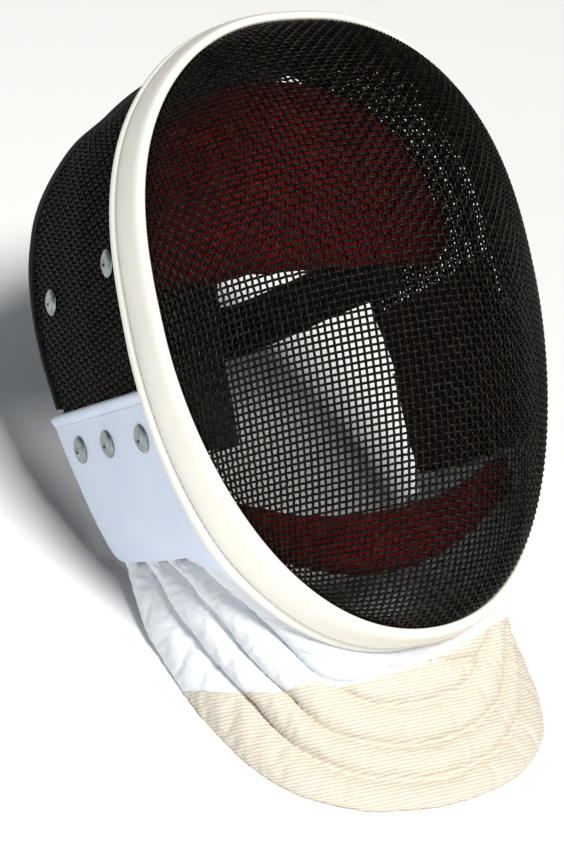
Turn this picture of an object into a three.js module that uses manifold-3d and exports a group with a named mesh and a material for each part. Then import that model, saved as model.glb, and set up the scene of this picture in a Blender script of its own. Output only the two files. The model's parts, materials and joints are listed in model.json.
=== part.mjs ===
// Fencing mask: a domed wire face in a padded rim, a wire side over the crown, a white jaw band with
// a riveted tab on each side, a quilted throat bib, pads inside, and a spring tongue with an elastic
// strap behind the head. It stands on the lower rim of its bib and on the end of its tongue.
// Millimetres. In the mask's own frame it faces -Y with +Z up. The mask group then leans it back.
import * as THREE from "three";
import { mergeVertices } from "three/addons/utils/BufferGeometryUtils.js";
import Module from "manifold-3d";

const wasm = await Module();
wasm.setup();

// Driving sizes
const GAP = 0.3;
const LEAN = THREE.MathUtils.degToRad(47.7);
const FLOOR_DEPTH = 159.4;

const RING = { halfWidth: 96, crown: 141, chin: 150, crownPower: 2.5, chinPower: 2.1 };
const RING_SKEW = 0.07;
const RING_RECEDE = { crown: 7, chin: 15 };
const RING_STEPS = 56;

const DOME = { depth: 85, centre: -2, root: 1.4, wall: 2 };
const DOME_POWER = { side: 2.08, crown: 1.75, chin: 1.85 };
const DOME_OUTER_STEPS = [0, 0.22, 0.42, 0.6, 0.75, 0.86, 0.94, 0.985, 1];
const DOME_INNER_STEPS = [0, 0.35, 0.65, 0.86, 0.97, 1];
const SKIRT = 5;

const MESH_WALL = 2;
const MESH_START = 7;
const BEAD_STEPS = 42;
const MESH_END_SHARE = 0.315;
const FLARE_BEND = 23;
const FLARE_START = 0.9;

const BAND_WALL = 1.5;
const BAND_START = 14;
const BEAD = { width: 3.2, inner: -MESH_WALL, outer: 1.5, endShare: 0.2555 };
const BEAD_ROUND = { front: 0.5, rear: 1, inside: 0.8 };
const TRIM_BACK = 24;

const BIB_WALL = 9.5;
const BIB_TOP_WALL = 4.5;
const GROOVE = 4;
const EDGE_ROUND = 1;
const BIB_TUCK = 0.12;
const BIB_SEAT = -0.6;
const BIB_STEPS = 40;
const BIB_END = 1.012;
const TUCK_LENGTH = 9.6;
const BIB_INSIDE = { place: 0.98, top: 0.03, rim: 0.97 };
const ROLL_SHARPNESS = 2.4;
const FULL_ROLL = 7;
const COVER_BLOCK = { halfWidth: 110, bottom: -300, depth: 300, back: 200, steps: 44 };
const JAW_SHARE = 0.371;
const BIB_CORNER = { share: 0.3549, back: 124.6 };

const RIVET = { radius: 6.75, rim: 0.35, height: 1.9, hollow: 1.5, pit: 0.8, steps: 12 };
const PAD_WALL = 14;
const PAD_TURN = { most: 4, share: 0.08 };
const PAD_DOWNS = [0, 0.12, 0.36, 0.65, 0.9, 1];
const BAND_BACKS = [0.33, 0.67];
const TONGUE = { halfWidth: 33, halfWall: 1.5 };
const STRAP = { width: 28, wall: 2 };

const MATERIALS = {
  wire: { color: 0x17181a, roughness: 0.45, metalness: 0.6 },
  piping: { color: 0x101012, roughness: 0.6, metalness: 0 },
  cream: { color: 0xf5efe0, roughness: 0.5, metalness: 0 },
  white: { color: 0xe9edf5, roughness: 0.55, metalness: 0 },
  bib: { color: 0xf6f6f6, roughness: 0.8, metalness: 0 },
  cover: { color: 0xd8cfb9, roughness: 0.85, metalness: 0 },
  steel: { color: 0x9aa4a6, roughness: 0.3, metalness: 0.9 },
  red: { color: 0x7a1d1a, roughness: 0.9, metalness: 0 },
  dark: { color: 0x1c1414, roughness: 0.9, metalness: 0 },
  elastic: { color: 0x141416, roughness: 0.8, metalness: 0 },
};

// Short tables. The first column is the place, and at() reads the others smoothly between its rows.
class Table {
  constructor(columns, rows) {
    this.columns = columns;
    this.rows = rows;
    this.slopes = columns.map((_, k) => monotoneSlopes(rows.map((row) => [row[0], row[k]])));
  }

  at(place) {
    const { rows, slopes } = this;
    let i = 0;
    while (i < rows.length - 2 && place > rows[i + 1][0]) {
      i += 1;
    }
    const span = rows[i + 1][0] - rows[i][0];
    const u = THREE.MathUtils.clamp((place - rows[i][0]) / span, 0, 1);
    const read = (k) =>
      (1 + 2 * u) * (1 - u) ** 2 * rows[i][k] +
      u * (1 - u) ** 2 * span * slopes[k][i] +
      u * u * (3 - 2 * u) * rows[i + 1][k] +
      u * u * (u - 1) * span * slopes[k][i + 1];
    return Object.fromEntries(this.columns.map((column, k) => [column, read(k)]));
  }
}

// Slopes of a curve through (place, value) pairs that never swings past its rows.
function monotoneSlopes(pairs) {
  const steps = pairs.slice(1).map(([x, y], i) => (y - pairs[i][1]) / (x - pairs[i][0]));
  return pairs.map((_, i) => {
    if (i === 0 || i === steps.length) {
      return steps[Math.min(i, steps.length - 1)];
    }
    const [before, after] = [steps[i - 1], steps[i]];
    return before * after > 0 ? (2 * before * after) / (before + after) : 0;
  });
}

// The same rows on both sides of place 0. Columns in `odd` change sign with the place.
function mirrored(rows, odd = []) {
  const flip = (row) => row.map((value, k) => (k === 0 || odd.includes(k) ? -value : value));
  return [...rows.slice(1).reverse().map(flip), ...rows];
}

// How the wall spreads behind the ring, by arc share from the crown (0) to the chin (0.5).
const SPREAD = new Table(
  ["share", "trimSlope", "sideSlope"],
  mirrored([
    [0, 0.26, 0.03],
    [0.05, 0.19, 0.01],
    [0.08, 0.165, 0.015],
    [0.1, 0.15, 0.055],
    [0.1255, 0.145, 0.035],
    [0.15, 0.14, 0],
    [0.2, 0.14, -0.03],
    [0.27, 0.19, -0.03],
    [0.34, 0.31, -0.03],
    [0.375, 0.36, -0.03],
    [0.41, 0.29, -0.03],
    [0.45, 0.2, -0.03],
    [0.5, 0.06, -0.03],
  ]),
);

// How far back the side mesh reaches.
const MESH_REAR = new Table(
  ["share", "back"],
  mirrored([
    [0, 74],
    [0.05, 80],
    [0.08, 88],
    [0.107, 109],
    [0.1255, 125],
    [0.1455, 137],
    [0.169, 142],
    [0.19, 143.3],
    [0.22, 139.6],
    [0.26, 131],
    [0.315, 127],
  ]),
);

// The padded rim's section: distance back, and rise above the ring or above the flared skin.
const TRIM_SECTION = [
  { back: -1.5, rise: GAP, from: "ring" },
  { back: -2.3, rise: 2, from: "ring" },
  { back: -0.8, rise: 4.4, from: "ring" },
  { back: 3, rise: 4.2, from: "skin" },
  { back: 9, rise: 4.4, from: "skin" },
  { back: 16, rise: 4.2, from: "skin" },
  { back: 21.5, rise: 3.9, from: "skin" },
  { back: TRIM_BACK, rise: 3.5, from: "skin" },
  { back: TRIM_BACK, rise: 2.6, from: "skin" },
  { back: 8, rise: 2.6, from: "skin" },
  { back: SKIRT + 0.5, rise: GAP, from: "ring" },
];

// The jaw band's outline: where a line across it starts at the rim and ends at its rear edge.
const BAND_OUTLINE = [
  { front: 0.2746, rear: 0.2577, back: 138 },
  { front: 0.279, rear: 0.264, back: 136.7 },
  { front: 0.318, rear: 0.3048, back: 129 },
  { front: 0.357, rear: 0.3495, back: 125.8 },
  { front: 0.361, rear: 0.3542, back: 124.2 },
  { front: 0.3635, rear: 0.358, back: 119.5 },
  { front: 0.3665, rear: 0.3625, back: 98 },
  { front: 0.3697, rear: 0.3665, back: 76 },
  { front: 0.3735, rear: 0.3703, back: 49 },
  { front: 0.3824, rear: 0.3824, back: 33 },
  { front: 0.401, rear: 0.401, back: 28 },
  { front: 0.42, rear: 0.42, back: 25.5 },
  { front: 0.45, rear: 0.45, back: 23 },
  { front: 0.5, rear: 0.5, back: 22 },
];
const BAND_STEP = 0.017;

// The bib's lower rim, from the chin (0) to the tab's rear corner (1). rise is above the floor.
const BIB_RIM = new Table(
  ["place", "x", "y", "rise"],
  mirrored(
    [
      [0, 0, 4.7, 0],
      [0.131, 31.5, 7.4, 0],
      [0.248, 57, 15.8, 0],
      [0.361, 75.4, 29.6, 0],
      [0.484, 85, 48.7, 0],
      [0.633, 89.7, 72.9, 0],
      [0.801, 90.4, 98.8, 2.9],
      [1, 85.3, 120.3, 22],
    ],
    [1],
  ),
);

// The bib's upper edge, under the rim and the band: the skin's distance back at each place.
const BIB_TOP = new Table(
  ["place", "back"],
  mirrored([
    [0, 25],
    [0.24, 25],
    [0.47, 25.2],
    [0.64, 26],
    [0.77, 28.6],
    [0.91, 33],
    [1, 47],
  ]),
);

// Where the seams between the rolls lie, as shares of the way from the upper edge to the rim.
const SEAMS = new Table(
  ["place", "first", "second", "third", "fourth"],
  mirrored([
    [0, 0.14, 0.375, 0.602, 0.806],
    [0.1, 0.158, 0.362, 0.592, 0.784],
    [0.18, 0.2, 0.34, 0.572, 0.768],
    [0.26, 0.243, 0.296, 0.56, 0.742],
    [0.33, 0.255, 0.268, 0.51, 0.712],
    [0.43, 0.222, 0.235, 0.455, 0.68],
    [0.5, 0.196, 0.209, 0.45, 0.65],
    [0.64, 0.17, 0.183, 0.43, 0.65],
    [0.76, 0.176, 0.189, 0.398, 0.664],
    [0.87, 0.2, 0.213, 0.41, 0.69],
    [1, 0.24, 0.253, 0.49, 0.76],
  ]),
);
const ROLL_PHASES = [0, 0.2, 0.5, 0.8];

// The upper border of the bib's cover, seen from the front. It climbs on the wearer's left.
const COVER_BORDER = new Table(
  ["x", "z"],
  [
    [-110, -147],
    [-90, -153.5],
    [-74, -160.5],
    [-62, -163.8],
    [-48, -163],
    [-37, -166.6],
    [-26, -167],
    [-9, -165.8],
    [6, -164.2],
    [24, -159],
    [42, -154.5],
    [52, -152],
    [74, -149],
    [90, -147],
    [110, -146],
  ],
);

// Pads that hang across the hollow: half outline by distance from the middle, and side profile.
const CROWN_PAD = {
  outline: new Table(
    ["x", "top", "bottom", "recede"],
    mirrored([
      [0, 128, 31, 0],
      [20, 126.5, 31, 1.5],
      [40, 121, 31, 5.5],
      [60, 109, 31.5, 9],
      [75, 94, 32, 15],
      [86, 73, 32.5, 20],
      [93, 51, 33, 22.5],
      [95.7, 40, 33.5, 23.5],
    ]),
  ),
  profile: new Table(
    ["down", "y"],
    [
      [0, 36],
      [0.1, 23],
      [0.34, 20],
      [0.65, 28],
      [1, 38],
    ],
  ),
};
const CHIN_PAD = {
  outline: new Table(
    ["x", "top", "bottom", "recede"],
    mirrored([
      [0, -89, -121, 0],
      [20, -88, -119, 0.5],
      [40, -85, -113, 2],
      [56, -81, -106, 3.5],
      [68, -77, -99, 5],
      [78, -73.5, -92, 6.5],
      [84.8, -71, -87.5, 8.5],
    ]),
  ),
  profile: new Table(
    ["down", "y"],
    [
      [0, 12],
      [0.3, 8],
      [0.7, 8],
      [1, 11],
    ],
  ),
};
// Cheek pads: arc shares, fronts at the first and last share, distance from the rear edge, and how
// the section turns in: shares of its fullness, and how far inside its ends it is full.
const CHEEK_PAD = { start: 0.213, end: 0.34, fronts: [20, 7], rear: 5, steps: 10, lift: -16 };
const CHEEK_TURN = { crown: [0.12, 0.88], front: 0.45, near: 0.9, rear: 0.6, nearFront: 14, nearRear: 8 };

// The tongue behind the crown: side path, half wall and half width.
const TONGUE_PATH = [
  { y: 86, z: 144.8, halfWall: 1.5, halfWidth: 33, sag: 3 },
  { y: 106, z: 142, halfWall: 1.6, halfWidth: 33, sag: 1.5 },
  { y: 132, z: 133, halfWall: 1.8, halfWidth: 33, sag: 0.6 },
  { y: 156, z: 116, halfWall: 2, halfWidth: 33, sag: 0 },
  { y: 177, z: 90, halfWall: 2.5, halfWidth: 33, sag: 0 },
  { y: 192, z: 58, halfWall: 3, halfWidth: 33, sag: 0 },
  { y: 199.5, z: 24, halfWall: 3.8, halfWidth: 33, sag: 0 },
  { y: 199.5, z: 0, halfWall: 4, halfWidth: 32.5, sag: 0 },
];
const TONGUE_END = { y: 195, halfWall: 4, halfWidth: 29 };
const TONGUE_BACKS = [34, 46, 60, 74];

// The strap's way from the side wall to the middle of the back.
const STRAP_SEAT = { share: 0.1915, backs: [100, 110, 120], lift: -MESH_WALL - GAP };
const STRAP_PATH = [
  { x: 85, y: 138, z: 46 },
  { x: 76, y: 158, z: 45 },
  { x: 66, y: 178, z: 43 },
  { x: 58, y: 193, z: 42 },
  { x: 50, y: 202, z: 41 },
  { x: 38, y: 207, z: 40 },
  { x: 19, y: 208, z: 40 },
  { x: 0, y: 208, z: 40 },
];

const TAB_RIVETS = [
  { name: "rear", share: 0.2859, back: 111.8 },
  { name: "middle", share: 0.2911, back: 78.1 },
  { name: "front", share: 0.2983, back: 38.6 },
];
const MESH_RIVETS = [
  { name: "front", share: 0.1944, back: 38 },
  { name: "rear", share: 0.1915, back: 116.2 },
];
const TONGUE_RIVET = { share: 0.022, back: 52 };
const SIDES = [
  { name: "right", sign: 1 },
  { name: "left", sign: -1 },
];

const vec = (x, y, z) => new THREE.Vector3(x, y, z);
const mix = THREE.MathUtils.lerp;
const HEAD = vec(0, 80, -60);
const FLOOR_DOWN = vec(0, Math.sin(LEAN), -Math.cos(LEAN));

// The height of the floor at a distance back, in the mask's own frame.
const floorHeight = (back) => (back * Math.sin(LEAN) - FLOOR_DEPTH) / Math.cos(LEAN);
const range = (count) => Array.from({ length: count }, (_, i) => i);

// Half of the ring, from the crown to the chin, on the side of the wearer's right hand (-X).
class RingCurve extends THREE.Curve {
  getPoint(place) {
    const rise = Math.cos(place * Math.PI);
    const width = Math.sin(place * Math.PI);
    const upper = rise > 0;
    const power = 2 / (upper ? RING.crownPower : RING.chinPower);
    const height = Math.sign(rise) * Math.abs(rise) ** power;
    const skew = 1 + RING_SKEW * (rise - rise ** 3);
    const recede = upper ? RING_RECEDE.crown : RING_RECEDE.chin;
    return vec(
      -RING.halfWidth * Math.abs(width) ** power * skew,
      -recede * height * height,
      (upper ? RING.crown : RING.chin) * height,
    );
  }
}
const ringCurve = new RingCurve();
ringCurve.arcLengthDivisions = 2000;

// The ring's point at an arc share: 0 crown, 0.5 chin, positive on the wearer's right.
function ringPoint(share) {
  const wrapped = share - Math.round(share);
  const point = ringCurve.getPointAt(Math.min(1, Math.abs(wrapped) * 2));
  return wrapped < 0 ? point.setX(-point.x) : point;
}

// The direction away from the hollow at an arc share, square to the ring as seen from the front.
function ringOutward(share) {
  const step = 1e-3;
  const along = ringPoint(share + step).sub(ringPoint(share - step));
  return vec(along.z, 0, -along.x).normalize();
}

// A point of the flared wall behind the ring, lifted off it by `lift`.
function skin(share, back, lift = 0) {
  const wrapped = share - Math.round(share);
  const { trimSlope, sideSlope } = SPREAD.at(wrapped);
  const near = Math.min(back, FLARE_BEND);
  const flare = FLARE_START + trimSlope * near + sideSlope * (back - near);
  return ringPoint(share)
    .addScaledVector(ringOutward(share), flare + lift)
    .add(vec(0, back, 0));
}

// The normal, away from the head, of a surface given by two numbers.
function surfaceNormal(surface, u, v, step) {
  const along = surface(u + step.u, v).sub(surface(u - step.u, v));
  const across = surface(u, v + step.v).sub(surface(u, v - step.v));
  const normal = along.cross(across).normalize();
  return normal.dot(surface(u, v).sub(HEAD)) < 0 ? normal.negate() : normal;
}

// A closed solid from points and triangles, with repeated points joined and its faces turned out.
function solidOf(points, triangles) {
  const flat = new THREE.BufferGeometry();
  const corners = triangles.flat().flatMap((i) => points[i].toArray());
  flat.setAttribute("position", new THREE.Float32BufferAttribute(corners, 3));
  const joined = mergeVertices(flat, 1e-3);
  const place = joined.getAttribute("position");
  const at = (i) => vec(place.getX(i), place.getY(i), place.getZ(i));
  const kept = [];
  let volume = 0;
  for (let i = 0; i < joined.index.count; i += 3) {
    const [a, b, c] = joined.index.array.slice(i, i + 3);
    if (a !== b && b !== c && c !== a) {
      kept.push([a, b, c]);
      volume += at(a).dot(at(b).cross(at(c)));
    }
  }
  joined.setIndex(kept.flatMap(([a, b, c]) => (volume < 0 ? [a, c, b] : [a, b, c])));
  return joined;
}

// One of the library's shapes as a closed solid, with its seams joined.
function closed(geometry) {
  const flat = geometry.index ? geometry.toNonIndexed() : geometry;
  const place = flat.getAttribute("position");
  const points = range(place.count).map((i) => vec(place.getX(i), place.getY(i), place.getZ(i)));
  return solidOf(points, range(place.count / 3).map((i) => [3 * i, 3 * i + 1, 3 * i + 2]));
}

// A solid through sections of equal length: a closed loop of them, or a run with flat ends.
function loft(sections, isLoop = false) {
  const count = sections[0].length;
  const points = sections.flat();
  const triangles = [];
  const last = isLoop ? sections.length : sections.length - 1;
  for (const i of range(last)) {
    for (const j of range(count)) {
      const [a, b] = [i * count + j, i * count + ((j + 1) % count)];
      const next = ((i + 1) % sections.length) * count;
      const [d, c] = [next + j, next + ((j + 1) % count)];
      triangles.push([a, d, c], [a, c, b]);
    }
  }
  if (!isLoop) {
    const shift = (sections.length - 1) * count;
    endFaces(sections[0]).forEach((face) => triangles.push(face));
    endFaces(sections.at(-1)).forEach(([a, b, c]) => {
      triangles.push([a + shift, c + shift, b + shift]);
    });
  }
  return solidOf(points, triangles);
}

// The triangles that close one end section, in the section's own order.
function endFaces(section) {
  const middle = section.reduce((sum, p) => sum.add(p), vec(0, 0, 0)).divideScalar(section.length);
  const normal = vec(0, 0, 0);
  section.forEach((p, i) => {
    const q = section[(i + 1) % section.length];
    normal.add(p.clone().sub(middle).cross(q.clone().sub(middle)));
  });
  const turn = new THREE.Quaternion().setFromUnitVectors(normal.normalize(), vec(0, 0, 1));
  const flat = section.map((p) => {
    const q = p.clone().sub(middle).applyQuaternion(turn);
    return new THREE.Vector2(q.x, q.y);
  });
  return THREE.ShapeUtils.triangulateShape(flat, []).map((face) => [...face].sort((a, b) => a - b));
}

// Manifold solids, used only to cut one shape by another.
function toManifold(geometry) {
  const mesh = new wasm.Mesh({
    numProp: 3,
    vertProperties: geometry.getAttribute("position").array,
    triVerts: new Uint32Array(geometry.index.array),
  });
  return new wasm.Manifold(mesh);
}

function toGeometry(manifold) {
  const largest = manifold.decompose().sort((a, b) => b.volume() - a.volume())[0];
  const { vertProperties, triVerts } = largest.getMesh();
  const geometry = new THREE.BufferGeometry();
  geometry.setAttribute("position", new THREE.Float32BufferAttribute(vertProperties, 3));
  geometry.setIndex([...triVerts]);
  return geometry;
}

const mask = new THREE.Group();
mask.name = "mask";

// Adds one named piece to the mask.
function addPiece(name, finish, geometry) {
  const shaded = geometry.toNonIndexed();
  shaded.computeVertexNormals();
  const piece = new THREE.Mesh(shaded, new THREE.MeshStandardMaterial(MATERIALS[finish]));
  piece.name = name;
  mask.add(piece);
  return piece;
}

// Wire face: a dome over the ring with a short skirt inside the rim.
function domePoint(share, reach, inset) {
  const edge = ringPoint(share).addScaledVector(ringOutward(share), -inset);
  const across = new THREE.Vector2(edge.x, edge.z - DOME.centre);
  const sideways = (across.x / across.length()) ** 2;
  const upright = edge.z > 0 ? DOME_POWER.crown : DOME_POWER.chin;
  const power = mix(upright, DOME_POWER.side, sideways);
  const swell = Math.max(0, 1 - reach ** power) ** (1 / DOME.root);
  return vec(
    reach * across.x,
    reach * reach * edge.y - (DOME.depth - inset) * swell,
    DOME.centre + reach * across.y,
  );
}

function frontMesh() {
  const sections = range(RING_STEPS).map((i) => {
    const share = i / RING_STEPS;
    const outer = DOME_OUTER_STEPS.map((reach) => domePoint(share, reach, 0));
    const inner = DOME_INNER_STEPS.map((reach) => domePoint(share, reach, DOME.wall));
    const skirt = vec(0, SKIRT, 0);
    return [
      ...outer,
      outer.at(-1).clone().add(skirt),
      inner.at(-1).clone().add(skirt),
      ...inner.reverse(),
    ];
  });
  return loft(sections, true);
}

// Padded rim
function trim() {
  const sections = range(RING_STEPS).map((i) => {
    const share = i / RING_STEPS;
    return TRIM_SECTION.map(({ back, rise, from }) =>
      from === "skin"
        ? skin(share, back, rise)
        : ringPoint(share)
            .addScaledVector(ringOutward(share), rise)
            .add(vec(0, back, 0)),
    );
  });
  return loft(sections, true);
}

// Wire side, from tab to tab over the crown
const BEAD_SHARES = range(BEAD_STEPS + 1).map((i) => mix(-BEAD.endShare, BEAD.endShare, i / BEAD_STEPS));
const TAIL_SHARES = [mix(BEAD.endShare, MESH_END_SHARE, 0.5), MESH_END_SHARE];
const MESH_SHARES = [
  ...TAIL_SHARES.map((share) => -share).reverse(),
  ...BEAD_SHARES,
  ...TAIL_SHARES,
];

function sideMesh() {
  const sections = MESH_SHARES.map((share) => {
    const rear = MESH_REAR.at(share).back - BEAD.width - GAP;
    const backs = [MESH_START, FLARE_BEND, mix(FLARE_BEND, rear, 0.5), rear];
    return [
      ...backs.map((back) => skin(share, back)),
      ...backs.reverse().map((back) => skin(share, back, -MESH_WALL)),
    ];
  });
  return loft(sections);
}

function rearEdging() {
  const sections = BEAD_SHARES.map((share) => {
    const rear = MESH_REAR.at(share).back;
    const front = rear - BEAD.width;
    const crest = mix(front, rear, 0.5);
    return [
      skin(share, front, BEAD.inner),
      skin(share, front, BEAD.outer - BEAD_ROUND.front),
      skin(share, crest, BEAD.outer),
      skin(share, rear, BEAD.outer - BEAD_ROUND.rear),
      skin(share, rear, BEAD.inner + BEAD_ROUND.inside),
      skin(share, crest, BEAD.inner),
    ];
  });
  return loft(sections);
}

// Jaw band with its two tabs
function bandRows() {
  const rows = [BAND_OUTLINE[0]];
  BAND_OUTLINE.slice(1).forEach((end, i) => {
    const start = BAND_OUTLINE[i];
    const steps = Math.ceil((end.rear - start.rear) / BAND_STEP);
    range(steps).forEach((k) => {
      const u = (k + 1) / steps;
      rows.push({
        front: mix(start.front, end.front, u),
        rear: mix(start.rear, end.rear, u),
        back: mix(start.back, end.back, u),
      });
    });
  });
  return rows;
}

function jawBand() {
  const side = bandRows();
  const rows = [
    ...side.map((row) => ({ ...row, sign: 1 })),
    ...side.slice(0, -1).reverse().map((row) => ({ ...row, sign: -1 })),
  ];
  const sections = rows.map(({ front, rear, back, sign }) => {
    const bend = Math.min(FLARE_BEND, mix(BAND_START, back, 0.9));
    const between = BAND_BACKS.map((u) => mix(bend, back, u));
    const backs = [BAND_START, bend, ...between, back];
    const point = (at, lift) => {
      const share = mix(front, rear, (at - BAND_START) / (back - BAND_START));
      return skin(sign * share, at, lift);
    };
    return [
      ...backs.map((at) => point(at, GAP + BAND_WALL)),
      ...backs.reverse().map((at) => point(at, GAP)),
    ];
  });
  return loft(sections);
}

// Throat bib: rolls between seams, from under the rim and band to its lower rim
function bibRimPoint(place) {
  const { x, y, rise } = BIB_RIM.at(place);
  return vec(-x, y, floorHeight(y) + rise);
}

// The bib's outermost surface: place runs round it (-1 to 1), down from its upper edge to its rim.
function bibSurface(place, down) {
  const side = Math.sign(place) || 1;
  const across = Math.min(1, Math.abs(place));
  const under = Math.max(0, Math.abs(place) - 1);
  if (under > 0) {
    const share = mix(JAW_SHARE, BIB_CORNER.share, down) - under;
    return skin(side * share, mix(BIB_TOP.at(1).back, BIB_CORNER.back, down), BIB_SEAT);
  }
  const share = side * mix(0.5, JAW_SHARE, across);
  const { back } = BIB_TOP.at(across);
  const top = skin(share, back, BIB_SEAT);
  if (down < 0) {
    return skin(share, back + (down / BIB_TUCK) * TUCK_LENGTH, BIB_SEAT);
  }
  return top.lerp(bibRimPoint(side * across), down);
}

// The same surface pushed in by `depth`. The rim stays level, so that it stands flat.
function bibInset(place, down, depth) {
  const step = { u: 0.01, v: 0.02 };
  const inside = {
    place: THREE.MathUtils.clamp(place, -BIB_INSIDE.place, BIB_INSIDE.place),
    down: THREE.MathUtils.clamp(down, BIB_INSIDE.top, BIB_INSIDE.rim),
  };
  const outward = surfaceNormal(bibSurface, inside.place, inside.down, step);
  const point = bibSurface(place, down).addScaledVector(outward, -depth);
  if (down < 1) {
    return point;
  }
  const along = bibSurface(inside.place, 1).sub(bibSurface(inside.place, 0)).normalize();
  const sunk = -depth * outward.dot(FLOOR_DOWN);
  return point.addScaledVector(along, -sunk / along.dot(FLOOR_DOWN));
}

// How deep the surface lies at each place down the bib, roll by roll.
function rollRows(place) {
  const seams = SEAMS.at(THREE.MathUtils.clamp(place, -1, 1));
  const ends = [0, seams.first, seams.second, seams.third, seams.fourth, 1];
  const depths = [0.5, GROOVE, GROOVE, GROOVE, GROOVE, EDGE_ROUND];
  const height = bibSurface(place, 1).distanceTo(bibSurface(place, 0));
  const rows = [{ down: -BIB_TUCK, depth: 0 }];
  range(5).forEach((i) => {
    const width = (ends[i + 1] - ends[i]) * height;
    const crest = GROOVE * THREE.MathUtils.clamp(1 - width / FULL_ROLL, 0, 1);
    ROLL_PHASES.forEach((phase) => {
      const edge = phase < 0.5 ? depths[i] : depths[i + 1];
      const dip = Math.abs(2 * phase - 1) ** ROLL_SHARPNESS;
      const depth = mix(crest, Math.max(edge, crest), dip);
      rows.push({ down: mix(ends[i], ends[i + 1], phase), depth });
    });
  });
  rows.push({ down: 1, depth: EDGE_ROUND });
  return rows;
}

const BIB_BACK_ROWS = [1, 0.75, 0.5, 0.25, 0.08, 0, -BIB_TUCK];

function quiltedBib() {
  const between = range(BIB_STEPS + 1).map((i) => mix(-1, 1, i / BIB_STEPS));
  const places = [-BIB_END, ...between, BIB_END];
  const sections = places.map((place) => {
    const front = rollRows(place).map(({ down, depth }) => bibInset(place, down, depth));
    const back = BIB_BACK_ROWS.map((down) => {
      const wall = mix(BIB_TOP_WALL, BIB_WALL, THREE.MathUtils.clamp(down / 0.2, 0, 1));
      return bibInset(place, down, wall);
    });
    return [...front, ...back];
  });
  return loft(sections);
}

// A block below the cover's border, shifted up by `raise`.
function belowBorder(raise) {
  const { halfWidth, bottom, depth, back, steps } = COVER_BLOCK;
  const shape = new THREE.Shape();
  shape.moveTo(-halfWidth, bottom);
  range(steps + 1).forEach((i) => {
    const x = mix(-halfWidth, halfWidth, i / steps);
    shape.lineTo(x, COVER_BORDER.at(x).z + raise);
  });
  shape.lineTo(halfWidth, bottom);
  const block = new THREE.ExtrudeGeometry(shape, { depth, bevelEnabled: false });
  block.rotateX(Math.PI / 2);
  block.translate(0, back, 0);
  return toManifold(closed(block));
}

// Rivet head with a hollow rivet's small pit in its middle
function rivetHead(share, back, lift) {
  const { radius, rim, height, hollow, pit, steps } = RIVET;
  const profile = [
    new THREE.Vector2(0, 0),
    new THREE.Vector2(radius, 0),
    new THREE.Vector2(radius, rim),
    new THREE.Vector2(radius * 0.78, height * 0.72),
    new THREE.Vector2(radius * 0.4, height),
    new THREE.Vector2(hollow, height),
    new THREE.Vector2(hollow * 0.8, height - pit),
    new THREE.Vector2(0, height - pit),
  ];
  const head = closed(new THREE.LatheGeometry(profile, steps));
  const outward = surfaceNormal((u, v) => skin(u, v, lift), share, back, { u: 0.004, v: 4 });
  head.applyQuaternion(new THREE.Quaternion().setFromUnitVectors(vec(0, 1, 0), outward));
  head.translate(...skin(share, back, lift).toArray());
  return head;
}

// A pad that hangs across the hollow
function hangingPad({ outline, profile }, steps) {
  const reach = outline.rows.at(-1)[0];
  const sections = range(steps + 1).map((i) => {
    const x = reach * Math.sin(mix(-Math.PI / 2, Math.PI / 2, i / steps));
    const { top, bottom, recede } = outline.at(x);
    const face = (down) => vec(x, profile.at(down).y + recede, mix(top, bottom, down));
    const inset = Math.min(PAD_TURN.most, (top - bottom) * PAD_TURN.share);
    const rear = [...PAD_DOWNS].reverse().map((down) => {
      const turn = down === 0 ? -inset : down === 1 ? inset : 0;
      return face(down).add(vec(0, PAD_WALL - Math.abs(turn) / 2, turn));
    });
    return [...PAD_DOWNS.map(face), ...rear];
  });
  return loft(sections);
}

function cheekPad(sign) {
  const { start, end, fronts, rear, steps, lift } = CHEEK_PAD;
  const outer = -MESH_WALL - 2 * GAP;
  const sections = range(steps + 1).map((i) => {
    const u = i / steps;
    const share = mix(start, end, u);
    const front = mix(...fronts, u);
    const back = MESH_REAR.at(share).back - BEAD.width - rear;
    const full = Math.sqrt(Math.sin(Math.PI * mix(...CHEEK_TURN.crown, u)));
    const inner = mix(outer, lift, full);
    const place = (behind, turn) => skin(sign * share, behind, mix(outer, inner, turn));
    return [
      place(front, 0),
      place(mix(front, back, 0.5), 0),
      place(back, 0),
      place(back, CHEEK_TURN.rear),
      place(back - CHEEK_TURN.nearRear, 1),
      place(mix(front, back, 0.5), 1),
      place(front + CHEEK_TURN.nearFront, CHEEK_TURN.near),
      place(front, CHEEK_TURN.front),
    ];
  });
  return loft(sections);
}

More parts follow.
